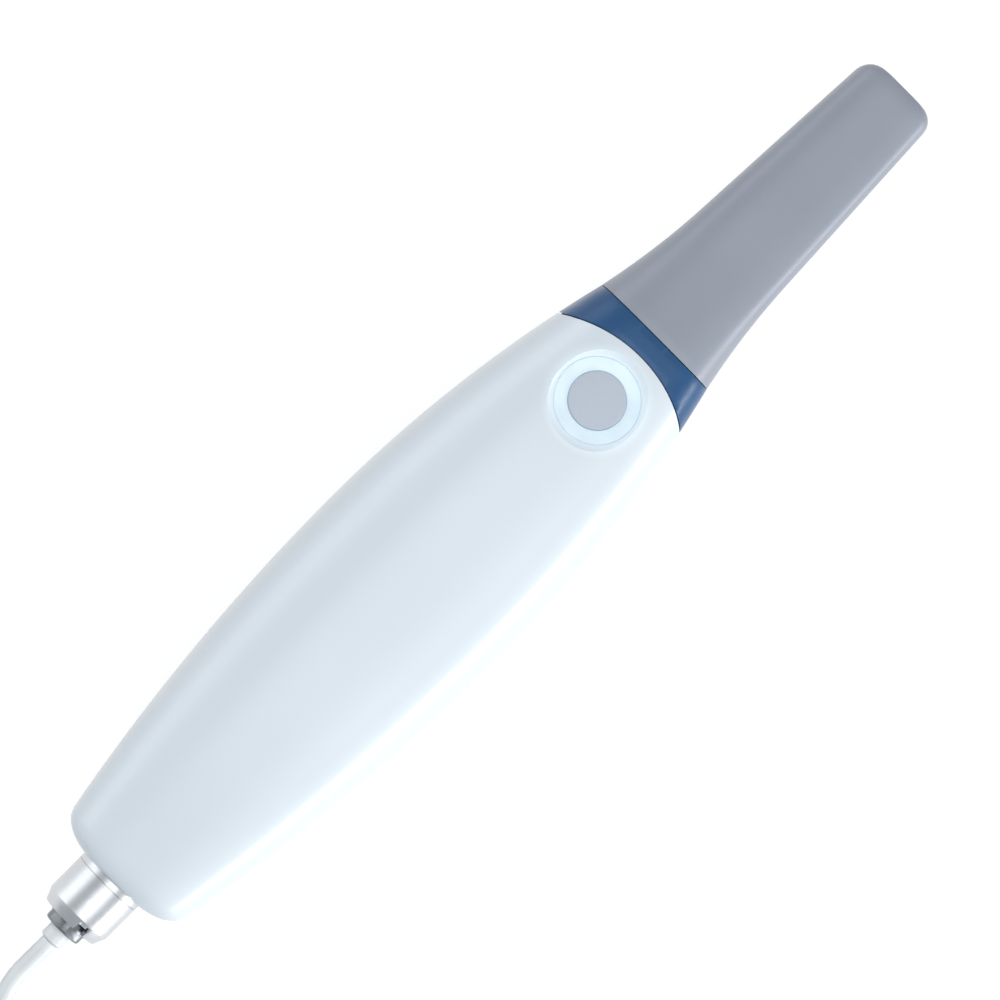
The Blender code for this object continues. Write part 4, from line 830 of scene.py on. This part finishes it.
# %% The button
STOP_R, FLANGE_TOP = 0.0077, RING_FOOT - GAP
FLANGE_FOOT = FLANGE_TOP - 0.0008
BUTTON_SKIN, DOME = 0.0012, 0.00015
PEG_R, PEG_FOOT = 0.001125, FLANGE_FOOT + 0.0010
cap_r = BUTTON_R - BUTTON_SKIN
cap_profile = [(0.0, RING_TOP + DOME)]
cap_profile += [(BUTTON_R * k / 6, RING_TOP + DOME * (1 - (k / 6) ** 2)) for k in range(1, 6)]
edge = len(cap_profile)
cap_profile += [
    (BUTTON_R, RING_TOP),
    (BUTTON_R, FLANGE_TOP),
    (STOP_R, FLANGE_TOP),
    (STOP_R, FLANGE_FOOT),
    (cap_r, FLANGE_FOOT),
    (cap_r, RING_TOP - BUTTON_SKIN),
    (PEG_R, RING_TOP - BUTTON_SKIN),
    (PEG_R, PEG_FOOT),
    (0.0, PEG_FOOT),
]
button = smooth(turned("button_cap", rounded(cap_profile, edge, 0.00025, 5), button_place), 40)
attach(button, "button")
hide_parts("scan_button")
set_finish(button, "button_grey")
print("button:", len(button.data.polygons), "faces")

# %% [markdown]
# ## The button's spring
# A coil of steel wire under the cap pushes it back up. A screw modifier could draw it, but a route of
# points goes straight through the helper that made the lead.

# %% The spring
SPRING_R, WIRE_R = 0.0040, 0.0002
PRESS = 0.0008  # how far the button goes in
BOARD_TOP = FLANGE_FOOT - PRESS - 2 * GAP
SPRING_FOOT, SPRING_TOP = BOARD_TOP + GAP + WIRE_R, RING_TOP - BUTTON_SKIN - GAP - WIRE_R
TURNS, TURN_STEPS = 4, 32
coil_route = []
for k in range(TURNS * TURN_STEPS + 1):
    turn = math.tau * k / TURN_STEPS
    height = SPRING_FOOT + (SPRING_TOP - SPRING_FOOT) * k / (TURNS * TURN_STEPS)
    spot = Vector((SPRING_R * math.cos(turn), SPRING_R * math.sin(turn), height))
    coil_route.append(tuple(button_place @ spot))
spring = tube_along("button_coil", coil_route, WIRE_R)
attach(spring, "handle")
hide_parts("button_spring")
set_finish(spring, "plug_steel")
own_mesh(spring)

# %% [markdown]
# ## The plug
# The plug at the rear is a push-pull connector: a turned grip sleeve with a chamfered rear edge and
# two spanner slots, over a core whose clamp nut shows behind it. The real ones are turned, so they are
# turned here too: one profile gives the walls, the chamfer and the bore together. The slots are cut
# with a block, and the nut's six flats with six more. The socket's flange stands between the sleeve
# and the handle, and a short moulded sleeve keeps the lead from bending sharply behind the nut.

# %% The grip sleeve
FLANGE_FROM, SLEEVE_FRONT, SLEEVE_REAR = -0.09305, -0.0946, -0.1064
PLUG_R, MOUTH_R, SLEEVE_WALL, SLEEVE_FLOOR = 0.00835, 0.0055, 0.00145, 0.0013
CHAMFER_LONG, CHAMFER_IN = 0.0028, 0.0012
SLOT_LONG, SLOT_WIDE, SLOT_TURN = 0.0048, 0.0030, math.radians(21)
sleeve_profile = [
    (PLUG_R, SLEEVE_FRONT),
    (PLUG_R, SLEEVE_REAR + CHAMFER_LONG),
    (PLUG_R - CHAMFER_IN, SLEEVE_REAR),
    (MOUTH_R, SLEEVE_REAR),
    (MOUTH_R, SLEEVE_REAR + SLEEVE_FLOOR),
    (PLUG_R - SLEEVE_WALL, SLEEVE_REAR + SLEEVE_FLOOR),
    (PLUG_R - SLEEVE_WALL, SLEEVE_FRONT),
]
sleeve = turned("plug_grip_sleeve", sleeve_profile, along_x())
slot_turn = Matrix.Translation((0, 0, AXIS_Z)) @ Matrix.Rotation(SLOT_TURN, 4, "X")
for side in (1, -1):
    centre = (SLEEVE_REAR, 0, side * (MOUTH_R - GAP + PLUG_R / 2))
    carve(sleeve, box_tool("slot", (SLOT_LONG, SLOT_WIDE, PLUG_R), centre, slot_turn))
smooth(soften(sleeve, 0.00008, 2, 20), 40)
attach(sleeve, "sleeve")
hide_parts("plug_sleeve")
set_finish(sleeve, "plug_steel")
print("grip sleeve:", len(sleeve.data.polygons), "faces")

# %% The socket's flange
SOCKET_FRONT, SOCKET_R, SOCKET_HOLE_R = -0.0808, 0.0060, 0.0049
flange_to = SLEEVE_FRONT + CLOSE_FIT / 2
socket_profile = [
    (SOCKET_R, SOCKET_FRONT),
    (SOCKET_R, FLANGE_FROM),
    (PLUG_R, FLANGE_FROM),
    (PLUG_R, flange_to),
    (SOCKET_HOLE_R, flange_to),
    (SOCKET_HOLE_R, SOCKET_FRONT),
]
socket = turned("socket_flange", socket_profile, along_x())
smooth(soften(socket, 0.00004, 1, 40), 40)
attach(socket, "handle")
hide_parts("socket")
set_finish(socket, "plug_steel")
print("socket:", len(socket.data.polygons), "faces")

# %% The clamp nut
NUT_R, NUT_REAR, NUT_FRONT = 0.0049, -0.1090, -0.1051
NUT_FLAT = 0.927 * NUT_R  # from the axis to a flat
RELIEF_R, RELIEF_REAR = 0.00275, LEAD_FROM + CLOSE_FIT / 2
nut_profile = [
    (NUT_R, NUT_FRONT),
    (NUT_R, NUT_REAR + 0.0005),
    (NUT_R - 0.0005, NUT_REAR),
    (RELIEF_R + GAP, NUT_REAR),
    (RELIEF_R + GAP, NUT_FRONT),
]
nut = turned("clamp_nut", nut_profile, along_x())
for k in range(6):
    turn = Matrix.Rotation(math.tau * (k + 0.5) / 6, 4, "X")
    flat_place = Matrix.Translation((NUT_REAR, 0, AXIS_Z)) @ turn
    flat_size = (0.0040, 2 * NUT_R, NUT_R)
    carve(nut, box_tool("flat", flat_size, (0, 0, NUT_FLAT + NUT_R / 2), flat_place))
smooth(soften(nut, 0.00012, 2, 25), 40)
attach(nut, "plug")
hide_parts("back_nut")
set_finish(nut, "dark_steel")
print("clamp nut:", len(nut.data.polygons), "faces")

# %% The lead's short sleeve
relief_profile = [
    (0.0, NUT_FRONT),
    (RELIEF_R, NUT_FRONT),
    (RELIEF_R, RELIEF_REAR + 0.0004),
    (RELIEF_R - 0.0004, RELIEF_REAR),
    (0.0, RELIEF_REAR),
]
relief = smooth(turned("lead_sleeve", rounded(relief_profile, 3, 0.0002), along_x()), 40)
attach(relief, "plug")
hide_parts("strain_relief")
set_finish(relief, "cable_white")
print("lead sleeve:", len(relief.data.polygons), "faces")

# %% [markdown]
# ## The tie
# A rubber strap holds the coil. A strap pulled tight takes the outline of what it holds, so its ring of
# points is pushed out to the outermost turn in each direction. The turns are found in the lead's own
# route, near the strap. The ring is then extruded to its width and given its thickness.

# %% The tie round the coil
TIE_POINTS, TIE_WIDE, TIE_THICK = 48, 0.0060, 0.0008
TIE_FIT_Y, TIE_FIT_Z = 0.00225, 0.00212  # from a turn's middle to the strap's inner face
held = [(y, z) for x, y, z in lead_route if abs(x - COIL_X) < 0.0056 and y > COIL_Y]
bpy.ops.object.select_all(action="DESELECT")
bpy.ops.mesh.primitive_circle_add(vertices=TIE_POINTS, radius=0.01)
tie = bpy.context.object
tie.name = "coil_strap"
for k, point in enumerate(tie.data.vertices):
    turn = math.tau * k / TIE_POINTS
    out_y, out_z = math.cos(turn), math.sin(turn)
    y, z = max(held, key=lambda spot: spot[0] * out_y + spot[1] * out_z)
    point.co = (COIL_X - TIE_WIDE / 2, y + TIE_FIT_Y * out_y, z + TIE_FIT_Z * out_z)
only(tie)
bpy.ops.object.mode_set(mode="EDIT")
bpy.ops.mesh.select_all(action="SELECT")
bpy.ops.mesh.extrude_edges_move(TRANSFORM_OT_translate={"value": (TIE_WIDE, 0, 0)})
bpy.ops.mesh.select_all(action="SELECT")
bpy.ops.mesh.normals_make_consistent(inside=False)
bpy.ops.object.mode_set(mode="OBJECT")
step = tie.modifiers.new("wall", "SOLIDIFY")
step.thickness, step.offset, step.use_rim = TIE_THICK, 1, True
apply_modifiers(tie)
smooth(soften(outward(tie), 0.00025, 2, 50), 40)
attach(tie, "plug")
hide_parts("cable_tie")
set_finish(tie, "rubber")
print("tie:", len(tie.data.polygons), "faces")

# %% [markdown]
# ## The far plug
# At the far end is a plain rectangular plug. Its overmould is a block with round edges and a row of
# grip ribs above and below. The ribs could be added one by one, but it takes less to cut the gaps
# between them into the block. Its shell is folded sheet: a box hollowed from its end, round a contact
# tongue, with two square windows above and two below, for the socket's springs.

# %% The far plug's overmould
TAIL_Y, PLUG_Z = COIL_Y - TURN_RADII[3], 0.0039
USB_FRONT = COIL_X - 0.0260
BODY_SIZE = (0.0220, 0.0150, 0.0078)
RIB_GAP, RIB_PITCH, RIBS_FROM = (0.0009, 0.0100, 0.0010), 0.0022, USB_FRONT - 0.0070
body_at = (USB_FRONT - BODY_SIZE[0] / 2, TAIL_Y, PLUG_Z)
usb_body = box_tool("far_plug_body", BODY_SIZE, body_at, edge=0.0014)
for k in range(5):
    for top in (1, -1):
        centre = (RIBS_FROM - RIB_PITCH * k, TAIL_Y, PLUG_Z + top * 0.0041)
        carve(usb_body, box_tool("rib_gap", RIB_GAP, centre))
smooth(soften(usb_body, 0.00015, 2, 50), 40)
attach(usb_body, "plug")
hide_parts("usb_body")
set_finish(usb_body, "cable_white")
print("overmould:", len(usb_body.data.polygons), "faces")

# %% The far plug's shell and tongue
SHELL_SIZE, SHEET = (0.0140, 0.0120, 0.0045), 0.0006
HOLLOW_SIZE = (0.0268, SHELL_SIZE[1] - 2 * SHEET, SHELL_SIZE[2] - 2 * SHEET)
WINDOW_CUBE, WINDOW_Y, WINDOW_Z = (0.0023, 0.0023, 0.0016), 0.0029, 0.0020
shell_middle = USB_FRONT - BODY_SIZE[0] - GAP - SHELL_SIZE[0] / 2
shell_end = shell_middle - SHELL_SIZE[0] / 2
usb_shell = box_tool("far_plug_shell", SHELL_SIZE, (shell_middle, TAIL_Y, PLUG_Z), edge=0.0004)
carve(usb_shell, box_tool("hollow", HOLLOW_SIZE, (shell_end, TAIL_Y, PLUG_Z)))
for side in (1, -1):
    for top in (1, -1):
        centre = (shell_middle - 0.0005, TAIL_Y + side * WINDOW_Y, PLUG_Z + top * WINDOW_Z)
        carve(usb_shell, box_tool("spring_window", WINDOW_CUBE, centre))
smooth(usb_shell, 40)
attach(usb_shell, "plug")
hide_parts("usb_shell")
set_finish(usb_shell, "plug_steel")

tongue_at = (shell_middle + 0.0004, TAIL_Y, PLUG_Z - 0.0008)
usb_tongue = box_tool("far_plug_tongue", (0.0118, 0.0104, 0.0014), tongue_at, edge=0.0002)
smooth(usb_tongue, 40)
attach(usb_tongue, "plug")
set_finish(usb_tongue, "black_plastic")
print("far plug ends at x =", round(shell_end * 1000, 1), "mm")

# %% [markdown]
# ## Finishes
# Every finish is a small node tree on Object coordinates, which are metres here, so a pattern's scale is
# counted per metre: a scale of 1000 gives features of about a millimetre. Two jobs repeat. One lets
# noise move a number, such as the roughness, a little. The other turns noise into a shallow bump.

# %% Helpers: finishes and their noise
FINISHES = {}


def finish(slot, colour, roughness, metallic=0.0):
    """A plain start for one slot's finish: its material and that material's shader."""
    made = bpy.data.materials.new(slot)
    made.use_nodes = True
    shader = made.node_tree.nodes["Principled BSDF"]
    shader.inputs["Base Color"].default_value = (*colour, 1)
    shader.inputs["Roughness"].default_value = roughness
    shader.inputs["Metallic"].default_value = metallic
    FINISHES[slot] = made
    return made, shader


def node(made, kind, **settings):
    """A new node, with its inputs or its own settings set by name."""
    found = made.node_tree.nodes.new(kind)
    for name, value in settings.items():
        if name in found.inputs:
            found.inputs[name].default_value = value
        else:
            setattr(found, name, value)
    return found


def join(made, start, end):
    """Links an output to an input."""
    made.node_tree.links.new(start, end)


def noise(made, scale, stretch=(1, 1, 1), detail=2.0):
    """Noise on Object coordinates, longer or shorter along each axis."""
    where = node(made, "ShaderNodeTexCoord")
    mapping = node(made, "ShaderNodeMapping", Scale=stretch)
    found = node(made, "ShaderNodeTexNoise", Scale=scale, Detail=detail)
    join(made, where.outputs["Object"], mapping.inputs["Vector"])
    join(made, mapping.outputs["Vector"], found.inputs["Vector"])
    return found.outputs["Fac"]


def vary(made, source, low, high, socket):
    """Lets noise move a socket's number between low and high."""
    span = node(made, "ShaderNodeMapRange")
    span.inputs["From Min"].default_value, span.inputs["From Max"].default_value = 0.3, 0.7
    span.inputs["To Min"].default_value, span.inputs["To Max"].default_value = low, high
    join(made, source, span.inputs["Value"])
    join(made, span.outputs["Result"], socket)


def tint(made, source, dark, light, shader):
    """Lets noise move the colour between two close shades."""
    ramp = node(made, "ShaderNodeValToRGB")
    ramp.color_ramp.elements[0].position, ramp.color_ramp.elements[1].position = 0.35, 0.65
    ramp.color_ramp.elements[0].color = (*dark, 1)
    ramp.color_ramp.elements[1].color = (*light, 1)
    join(made, source, ramp.inputs["Fac"])
    join(made, ramp.outputs["Color"], shader.inputs["Base Color"])


def emboss(made, source, depth, shader):
    """Lets noise raise the surface by this depth, as a bump."""
    bump = node(made, "ShaderNodeBump", Strength=1.0, Distance=depth)
    join(made, source, bump.inputs["Height"])
    join(made, bump.outputs["Normal"], shader.inputs["Normal"])


def shades(colour, share):
    """A darker and a lighter shade of a colour, each this share away from it."""
    return [c * (1 - share) for c in colour], [min(c * (1 + share), 1.0) for c in colour]


print("finish helpers ready")

# %% [markdown]
# ### The white shell
# The shells are moulded in a bluish white plastic with a satin gloss. A moulded face is never quite
# even: its gloss drifts a little, and a very fine texture from the tool breaks up reflections. Round
# the lit ring a glow is painted on: a soft ring of painted light about the button is worked out
# from the distance to its middle, and given to the shell's emission, though the shell is no lamp.

# %% Finish: white shell
WHITE = (0.71, 0.78, 0.84)
white, shader = finish("white_shell", WHITE, 0.29)
shader.inputs["Coat Weight"].default_value = 0.10
shader.inputs["Coat Roughness"].default_value = 0.18
tint(white, noise(white, 30), *shades(WHITE, 0.008), shader)
vary(white, noise(white, 90), 0.28, 0.31, shader.inputs["Roughness"])
emboss(white, noise(white, 3800, detail=1.0), 0.0000012, shader)
print("white shell finished")

# %% The painted glow round the ring
# Painted light: the white shell's emission rises near the ring and fades with distance, a glow painted
# on the shell.
PAINTED_GLOW_FROM, PAINTED_GLOW_TO, PAINTED_GLOW_LEVEL = RING_R, 0.0132, 0.16
where = node(white, "ShaderNodeTexCoord")
shift = node(white, "ShaderNodeMapping", Location=tuple(-button_place.translation))
reach = node(white, "ShaderNodeVectorMath", operation="LENGTH")
painted_glow = node(white, "ShaderNodeMapRange", interpolation_type="SMOOTHSTEP")
painted_glow.inputs["From Min"].default_value, painted_glow.inputs["From Max"].default_value = PAINTED_GLOW_FROM, PAINTED_GLOW_TO
painted_glow.inputs["To Min"].default_value, painted_glow.inputs["To Max"].default_value = PAINTED_GLOW_LEVEL, 0.0
join(white, where.outputs["Object"], shift.inputs["Vector"])
join(white, shift.outputs["Vector"], reach.inputs[0])
join(white, reach.outputs["Value"], painted_glow.inputs["Value"])
join(white, painted_glow.outputs["Result"], shader.inputs["Emission Strength"])
shader.inputs["Emission Color"].default_value = (0.62, 0.88, 1.0, 1)
print("glow ends", round((PAINTED_GLOW_TO - PAINTED_GLOW_FROM) * 1000, 1), "mm from the ring")

# %% [markdown]
# ### Collar, tip and button
# The collar is a deep satin blue. The tip is a tougher grey plastic that stands the steriliser, with a
# finer, flatter gloss. The button is the roughest: its cap has a fine pearly speckle that a finger can
# feel, so its noise drives both colour and bump.

# %% Finishes: collar, tip and button
BLUE = (0.022, 0.090, 0.220)
blue, shader = finish("collar_blue", BLUE, 0.31)
shader.inputs["Specular IOR Level"].default_value = 0.35
tint(blue, noise(blue, 70), *shades(BLUE, 0.04), shader)
vary(blue, noise(blue, 420), 0.28, 0.35, shader.inputs["Roughness"])
emboss(blue, noise(blue, 3600, detail=1.0), 0.000002, shader)

GREY = (0.296, 0.325, 0.384)
grey, shader = finish("tip_grey", GREY, 0.40)
tint(grey, noise(grey, 55), *shades(GREY, 0.02), shader)
vary(grey, noise(grey, 300), 0.38, 0.43, shader.inputs["Roughness"])
emboss(grey, noise(grey, 3000), 0.0000015, shader)

PEARL = (0.510, 0.566, 0.648)
pearl, shader = finish("button_grey", PEARL, 0.42)
tint(pearl, noise(pearl, 4200, detail=1.0), *shades(PEARL, 0.035), shader)
emboss(pearl, noise(pearl, 4200, detail=1.0), 0.000006, shader)
print("collar, tip and button finished")

# %% [markdown]
# ### The lit ring
# The ring is a frosted light guide. It is partly see-through, and it also sends out a cool white light
# of its own, a little unevenly, as the lamps on the board below it sit at a few places.

# %% Finish: light guide
ICE = (0.72, 0.83, 0.90)
ice, shader = finish("light_guide", ICE, 0.30)
shader.inputs["Transmission Weight"].default_value = 0.15
shader.inputs["Emission Color"].default_value = (0.72, 0.92, 1.0, 1)
tint(ice, noise(ice, 220), *shades(ICE, 0.02), shader)
vary(ice, noise(ice, 180), 0.13, 0.20, shader.inputs["Emission Strength"])
print("light guide finished")

# %% [markdown]
# ### Metals
# The plug is turned and plated, so its fine marks run round the axis: noise that changes quickly along
# X and slowly across it gives them. Screws and nuts are darker, and the chassis is milled aluminium.

# %% Finishes: metals
def metal(slot, colour, roughness, stretch, scale=900, depth=0.000004):
    """A metal whose marks are drawn out along an axis by the stretch of their noise."""
    made, shader = finish(slot, colour, roughness, 1.0)
    low, high = roughness - 0.05, roughness + 0.06
    tint(made, noise(made, 120), *shades(colour, 0.03), shader)
    vary(made, noise(made, scale, stretch), low, high, shader.inputs["Roughness"])
    emboss(made, noise(made, scale, stretch), depth, shader)


metal("plug_steel", (0.62, 0.645, 0.67), 0.34, (6, 0.4, 0.4), depth=0.000001)
metal("dark_steel", (0.22, 0.235, 0.25), 0.38, (4, 0.6, 0.6), depth=0.000002)
metal("chassis_aluminium", (0.62, 0.63, 0.65), 0.42, (0.5, 5, 0.5))
silver, shader = finish("mirror", (0.90, 0.92, 0.93), 0.02, 1.0)
vary(silver, noise(silver, 300), 0.015, 0.03, shader.inputs["Roughness"])
print("metals finished")

# %% [markdown]
# ### Plastics, rubber, boards and glass
# The rest is seen little: black light-absorbing plastic, soft rubber, green board with the faint grid
# of its copper, dark packages, coated glass and the lead's soft white sheath. The moulded ones differ
# only in colour, gloss and grain, so one function makes them all.

# %% Finishes: the rest
def moulded(slot, colour, roughness, scale, depth):
    """A moulded plastic or rubber with a grain of this scale and depth."""
    made, shader = finish(slot, colour, roughness)
    low, high = roughness - 0.05, roughness + 0.06
    tint(made, noise(made, scale / 12), *shades(colour, 0.05), shader)
    vary(made, noise(made, scale / 4), low, high, shader.inputs["Roughness"])
    emboss(made, noise(made, scale), depth, shader)


moulded("black_plastic", (0.020, 0.020, 0.022), 0.50, 3000, 0.000008)
moulded("rubber", (0.030, 0.030, 0.032), 0.72, 2400, 0.00001)
moulded("chip_black", (0.030, 0.030, 0.035), 0.45, 4000, 0.000004)
moulded("cable_white", (0.74, 0.78, 0.80), 0.46, 1600, 0.000008)

board, shader = finish("circuit_board", (0.02, 0.16, 0.07), 0.42)
where = node(board, "ShaderNodeTexCoord")
copper = node(board, "ShaderNodeTexBrick", Scale=400.0, **{"Mortar Size": 0.03})
copper.inputs["Color1"].default_value = (0.020, 0.150, 0.065, 1)
copper.inputs["Color2"].default_value = (0.022, 0.165, 0.072, 1)
copper.inputs["Mortar"].default_value = (0.050, 0.240, 0.110, 1)
join(board, where.outputs["Object"], copper.inputs["Vector"])
join(board, copper.outputs["Color"], shader.inputs["Base Color"])
vary(board, noise(board, 700), 0.36, 0.50, shader.inputs["Roughness"])

glass, shader = finish("optical_glass", (0.90, 0.96, 1.0), 0.03)
shader.inputs["Transmission Weight"].default_value = 1.0
shader.inputs["IOR"].default_value = 1.5
vary(glass, noise(glass, 250), 0.02, 0.05, shader.inputs["Roughness"])
print(len(FINISHES), "finishes")

# %% [markdown]
# ## Giving out the finishes
# Each new piece says which slot it takes, and each frame node's slot is in the frame's record. They
# could be dressed one by one, but with one loop for each kind none is forgotten.

# %% Dress every piece and node
slots = {part["node"]: part["material_slot"] for part in frame["record"]["subparts"]}
for name, cad_node in frame["nodes"].items():
    cad_node.data.materials.clear()
    cad_node.data.materials.append(FINISHES[slots[name]])
made_pieces = [piece for piece in bpy.data.objects if "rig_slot" in piece]
for piece in made_pieces:
    piece.data.materials.clear()
    piece.data.materials.append(FINISHES[piece["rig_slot"]])
print(len(made_pieces), "new pieces,", len(frame["nodes"]), "frame nodes")

# %% [markdown]

# %% [markdown]
# ## Floor and light
# The picture has a plain white ground. The floor is a large plane whose own colour is pale; for the
# camera and for reflections it is lifted to white, and it keeps a faint shadow of the scanner. A long
# lamp stands low on each side of the scanner. The right one is narrow and strong, and draws the
# bright line along that flank. The left one is wider and softer, and a third lamp hangs above.

# %% The floor
FLOOR_GREY, FLOOR_LIFT = 0.16, 0.90
bpy.ops.object.select_all(action="DESELECT")
bpy.ops.mesh.primitive_plane_add(size=6.0, location=(0, 0, -0.0003))
floor = bpy.context.object
floor.name = "floor"
paper = bpy.data.materials.new("floor_white")
paper.use_nodes = True
paper.node_tree.nodes.clear()
ground = node(paper, "ShaderNodeBsdfDiffuse")
ground.inputs["Color"].default_value = (FLOOR_GREY, FLOOR_GREY, FLOOR_GREY, 1)
lift = node(paper, "ShaderNodeEmission")
lift.inputs["Color"].default_value = (1, 1, 1, 1)
path = node(paper, "ShaderNodeLightPath")
seen = node(paper, "ShaderNodeMath", operation="MAXIMUM")
seen_all = node(paper, "ShaderNodeMath", operation="MAXIMUM")
level = node(paper, "ShaderNodeMath", operation="MULTIPLY")
level.inputs[1].default_value = FLOOR_LIFT
both = node(paper, "ShaderNodeAddShader")
out = node(paper, "ShaderNodeOutputMaterial")
join(paper, path.outputs["Is Camera Ray"], seen.inputs[0])
join(paper, path.outputs["Is Glossy Ray"], seen.inputs[1])
join(paper, seen.outputs["Value"], seen_all.inputs[0])
join(paper, path.outputs["Is Transmission Ray"], seen_all.inputs[1])
join(paper, seen_all.outputs["Value"], level.inputs[0])
join(paper, level.outputs["Value"], lift.inputs["Strength"])
join(paper, ground.outputs["BSDF"], both.inputs[0])
join(paper, lift.outputs["Emission"], both.inputs[1])
join(paper, both.outputs["Shader"], out.inputs["Surface"])
floor.data.materials.append(paper)
print("floor made")

# %% The room's light and the lamps
world = bpy.data.worlds.new("studio")
bpy.context.scene.world = world
world.use_nodes = True
sky = world.node_tree.nodes["Background"]
sky.inputs["Color"].default_value = (0.94, 0.97, 1.0, 1)
sky.inputs["Strength"].default_value = 0.50


MIDDLE = Vector((0.02, 0.0, 0.02))


def lamp(name, place, width, height, power):
    """A rectangular lamp at a place, turned towards the scanner's middle."""
    data = bpy.data.lights.new(name, "AREA")
    data.shape, data.size, data.size_y, data.energy = "RECTANGLE", width, height, power
    made = bpy.data.objects.new(name, data)
    made.location = place
    made.rotation_euler = (MIDDLE - Vector(place)).to_track_quat("-Z", "Y").to_euler()
    bpy.context.scene.collection.objects.link(made)


lamp("right_lamp", (0.02, -1.10, 0.15), 1.4, 0.28, 12.0)
lamp("top_lamp", (0.05, -0.45, 2.00), 1.5, 1.5, 13.0)
lamp("left_lamp", (0.02, 1.15, 0.48), 2.0, 0.9, 7.5)
bpy.context.scene.view_settings.view_transform = "Standard"
print("lamps set")
